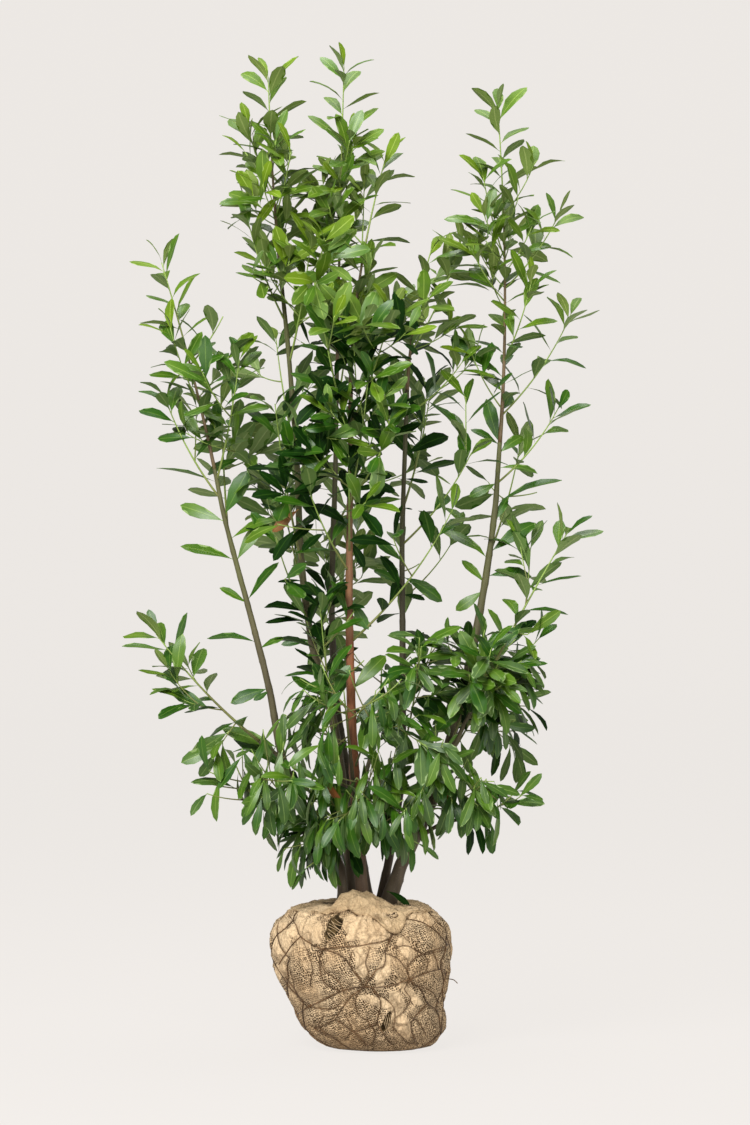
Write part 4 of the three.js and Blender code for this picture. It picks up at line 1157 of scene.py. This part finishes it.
def blade_heap(rows):
    """Leaves as thin closed blades in one heap, the finish of each face, and which points lie on a rim.

    Along the midrib the blade bends by an even arc; across, it is folded up in a shallow V whose margins
    roll back and wave. Half width is the sine of pi t to the 1.4, all to the power 0.62. The stalk lies
    before t = 0."""
    rng = np.random.RandomState(len(rows))
    n = len(rows)

    def drawn(low, high):
        return rng.uniform(low, high, n)[:, None, None]

    foot, aim, face, size, droop = (
        np.array([row[k] for row in rows])[:, None, None] for k in (0, 1, 2, 3, 6))
    long = LEAF_LENGTH * size
    wide = LEAF_WIDTH * size * drawn(0.84, 1.12) * (1 - 0.28 * np.clip(droop, 0, 1))
    t = np.array(LEAF_ROWS)[None, :, None]
    u = np.linspace(-1, 1, LEAF_COLUMNS)[None, None, :]
    blade = np.clip(t, 0, 1)
    half = np.maximum(0.5 * np.sin(np.pi * blade ** 1.4) ** 0.62 * wide, np.where(t < 0.5, 1.1, 0.3))
    bend = drawn(0.15, 0.75) + 0.3 * droop
    turn = bend * (t - LEAF_ROWS[0])
    ahead = long * 0.9 * np.sin(turn) / bend
    sink = -long * 0.9 * (1 - np.cos(turn)) / bend
    fold = drawn(0.08, 0.4)
    wave = 0.045 * wide * np.sin(7 * t + drawn(0, 6.28)) * np.abs(u) * (t > 0)
    lift = half * np.abs(u) * np.sin(fold) - 0.16 * half * u ** 2 + wave
    across = half * u * np.cos(fold) + drawn(-0.09, 0.09) * long * blade ** 2
    turn, ahead, sink, lift, across = (value[..., None] for value in (turn, ahead, sink, lift, across))
    normal = np.cos(turn) * face + np.sin(turn) * aim
    top = foot + ahead * aim + sink * face + across * np.cross(aim, face) + lift * normal
    under = (top - 0.5 * normal)[:, 1:-1, 1:-1]

    upper = np.arange(len(LEAF_ROWS) * LEAF_COLUMNS).reshape(-1, LEAF_COLUMNS)
    inner = upper[1:-1, 1:-1]
    lower = upper.copy()
    lower[1:-1, 1:-1] = upper.size + np.arange(inner.size).reshape(inner.shape)
    each = upper.size + inner.size
    down = (t[0, :, 0] - LEAF_ROWS[0]) / (1 - LEAF_ROWS[0])
    uv = cells(np.stack(np.meshgrid(np.linspace(0, 1, LEAF_COLUMNS), down), -1)).reshape(-1, 4, 2)
    faces = np.concatenate([cells(upper).reshape(-1, 4), cells(lower).reshape(-1, 4)[:, ::-1]])
    heap = Heap()
    heap.points.append(np.concatenate([top.reshape(n, -1, 3), under.reshape(n, -1, 3)], 1).reshape(-1, 3))
    heap.quads.append((faces[None] + each * np.arange(n)[:, None, None]).reshape(-1, 4))
    heap.uvs.append(np.tile(np.concatenate([uv, uv[:, ::-1]]), (n, 1, 1)))
    heap.marks.append(np.zeros(each * n))
    rim = np.arange(each) < upper.size
    rim[inner] = False
    return heap, np.tile(np.repeat([0, 1], len(uv)), n), np.tile(rim, n)


def tone_of(row):
    """A leaf's tone: young at high tips, bright near tips and, as painted light, high up; dark and deep as
    painted shade within and low behind, deep also at random; dull where it hangs low.
    """
    foot, _, _, _, k, name, droop, luck = row
    height = foot[2]
    if name == "turning" or (luck > 0.9995 and height < 1250):
        return "turning"
    centre = abs(foot[0] + 20) < 170 and abs(foot[1]) < 150
    if droop > 0.3 or height < 760:
        # Painted shade: low leaves behind the front are dark or deep.
        if foot[1] > -70 and luck < 0.6:
            return "dark" if luck < 0.42 else "deep"
        return "dull" if luck < 0.4 else "green" if luck < 0.62 else "deep"
    if k < 3 and height > 1500 and luck < 0.5:
        return "young"
    # Painted light: high leaves are mostly bright.
    if height > 1550:
        return "bright" if luck < 0.7 else "green"
    # Painted shade: leaves near the middle of the crown are mostly dark.
    if centre and luck < 0.55:
        return "dark"
    if k < 3 and luck < 0.5:
        return "bright"
    return "green" if luck < 0.6 else "deep"


def grow_leaves(leaves):
    """One piece for each tone, the first of which replaces all the masses."""
    groups = {}
    for row in leaves:
        groups.setdefault(tone_of(row), []).append(row)
    nodes = ["foliage_" + name for name in MASSES]
    for tone, rows in groups.items():
        heap, index, rim = blade_heap(rows)
        heap.piece("leaves_" + tone, LEAF_FINISHES[tone], nodes=nodes, slot="foliage", finish_index=index,
                   sharp=rim)
        nodes = []


# Everything is made here

# Each hessian's colours: pale, thread, the dark of its gaps, also used as painted shade along fine folds, and
# dirt.
WEAVE = hessian("hessian_weave", srgb(218, 192, 155), srgb(207, 177, 138), srgb(34, 20, 6),
                srgb(140, 105, 66))
PALE = hessian("hessian_doubled", srgb(205, 179, 141), srgb(195, 167, 129), srgb(94, 67, 38),
               srgb(150, 120, 84))
EARTH = soil_finish()
METAL = wire_finish()
BARK = bark_finish("bark_grey_brown", srgb(84, 73, 56), srgb(84, 78, 52), srgb(82, 84, 46))
DARK_BARK = bark_finish("bark_dark", srgb(74, 62, 47), srgb(60, 55, 38), srgb(66, 66, 38))
RUSSET = bark_finish("bark_russet", srgb(98, 78, 60), srgb(144, 90, 58), srgb(112, 88, 58))
TWIG = twig_finish("twig_bark", srgb(122, 146, 66), srgb(96, 78, 52))
# Each tone of leaf: blade, its deeper blotches, vein, roughness and shine, and the underside and its vein.
# Dark, and deep in part, are painted shade within the crown; young and bright are partly painted light high
# up.
TONES = {
    "young": ((93, 119, 16), (73, 98, 9), (152, 170, 82), 0.54, 0.14, (118, 139, 66), (160, 176, 100)),
    "bright": ((78, 107, 12), (60, 90, 6), (138, 158, 70), 0.47, 0.24, (108, 129, 64), (148, 164, 96)),
    "green": ((72, 104, 17), (51, 86, 9), (126, 150, 68), 0.31, 0.38, (114, 136, 80), (150, 166, 108)),
    "deep": ((46, 84, 9), (28, 66, 4), (100, 128, 50), 0.3, 0.3, (86, 112, 56), (126, 146, 86)),
    "dark": ((13, 44, 2), (6, 31, 1), (52, 84, 24), 0.54, 0.08, (34, 66, 14), (74, 100, 42)),
    "dull": ((61, 90, 23), (36, 67, 11), (122, 146, 76), 0.36, 0.36, (116, 136, 90), (150, 164, 116)),
    "turning": ((138, 78, 30), (104, 84, 26), (160, 124, 64), 0.42, 0.35, (128, 88, 50), (150, 122, 76)),
}
LEAF_FINISHES = {
    tone: [blade_finish("blade_" + tone, srgb(*blade), srgb(*deep), srgb(*vein), rough, shine),
           under_finish("under_" + tone, srgb(*pale), srgb(*rib))]
    for tone, (blade, deep, vein, rough, shine, pale, rib) in TONES.items()}

dress_cloth()
dress_wires()
dress_soil()
dress_threads()
dress_collar()
grow_limbs()
grow_leaves(grow_crown())


def floor_finish():
    """A pale sheet that glows a little, as one lit from behind does, so that its shadows stay soft."""
    f = Finish("pale_floor", roughness=0.9, specular_ior_level=0.0)
    f.shader.inputs["Base Color"].default_value = srgb(56, 54, 53)
    f.shader.inputs["Emission Color"].default_value = srgb(236, 232, 228)
    f.shader.inputs["Emission Strength"].default_value = 0.975
    return f.material


def set_stage():
    """A wide pale floor whose rim curves up all round, far off, and soft light from above and both sides."""
    heap = Heap()
    t = np.linspace(0, np.pi / 2, 9)[1:]
    r = np.concatenate([[200, 3000, 8000, 16000, 24000], 24000 + 5000 * np.sin(t)])
    z = np.concatenate([np.zeros(5), 5000 - 5000 * np.cos(t)])
    r, z = np.append(r, 29000), np.append(z, 9000)
    a = np.linspace(0, 2 * np.pi, 64, endpoint=False)[None]
    bowl = np.stack([r[:, None] * np.cos(a), r[:, None] * np.sin(a), z[:, None] + 0 * a], -1)
    heap.grid(np.concatenate([bowl[:1] * (0.01, 0.01, 1), bowl]), ends=False)
    heap.piece("studio_floor", [floor_finish()], ride=False)
    world = bpy.data.worlds.new("studio_air")
    world.use_nodes = True
    world.node_tree.nodes["Background"].inputs[0].default_value = srgb(236, 232, 220)
    world.node_tree.nodes["Background"].inputs[1].default_value = 0.37
    bpy.context.scene.world = world
    for name, place, aim, size, power in (
            ("key", (-1.6, -3.8, 4.2), (0, 0, 1.1), 2.6, 430),
            ("fill", (2.6, -4.4, 1.5), (0, 0, 1.0), 2.6, 90),
            ("top", (0.3, 0.8, 5.0), (0, 0, 1.2), 2.4, 136)):
        lamp = bpy.data.lights.new(name, "AREA")
        lamp.size = size
        lamp.energy = power
        thing = bpy.data.objects.new(name, lamp)
        bpy.context.scene.collection.objects.link(thing)
        thing.location = place
        heading = unit(np.subtract(aim, place))
        thing.rotation_euler = (math.acos(-heading[2]), 0, math.atan2(heading[1], heading[0]) - math.pi / 2)
    eye = bpy.data.cameras.new("eye")
    eye.lens = 116.8
    eye.sensor_width = 36
    eye.clip_end = 100
    viewer = bpy.data.objects.new("eye", eye)
    bpy.context.scene.collection.objects.link(viewer)
    viewer.location = (0.026, -8.0, 1.061)
    viewer.rotation_euler = (math.pi / 2, 0, 0)
    bpy.context.scene.camera = viewer
    bpy.context.scene.view_settings.view_transform = "Standard"


set_stage()
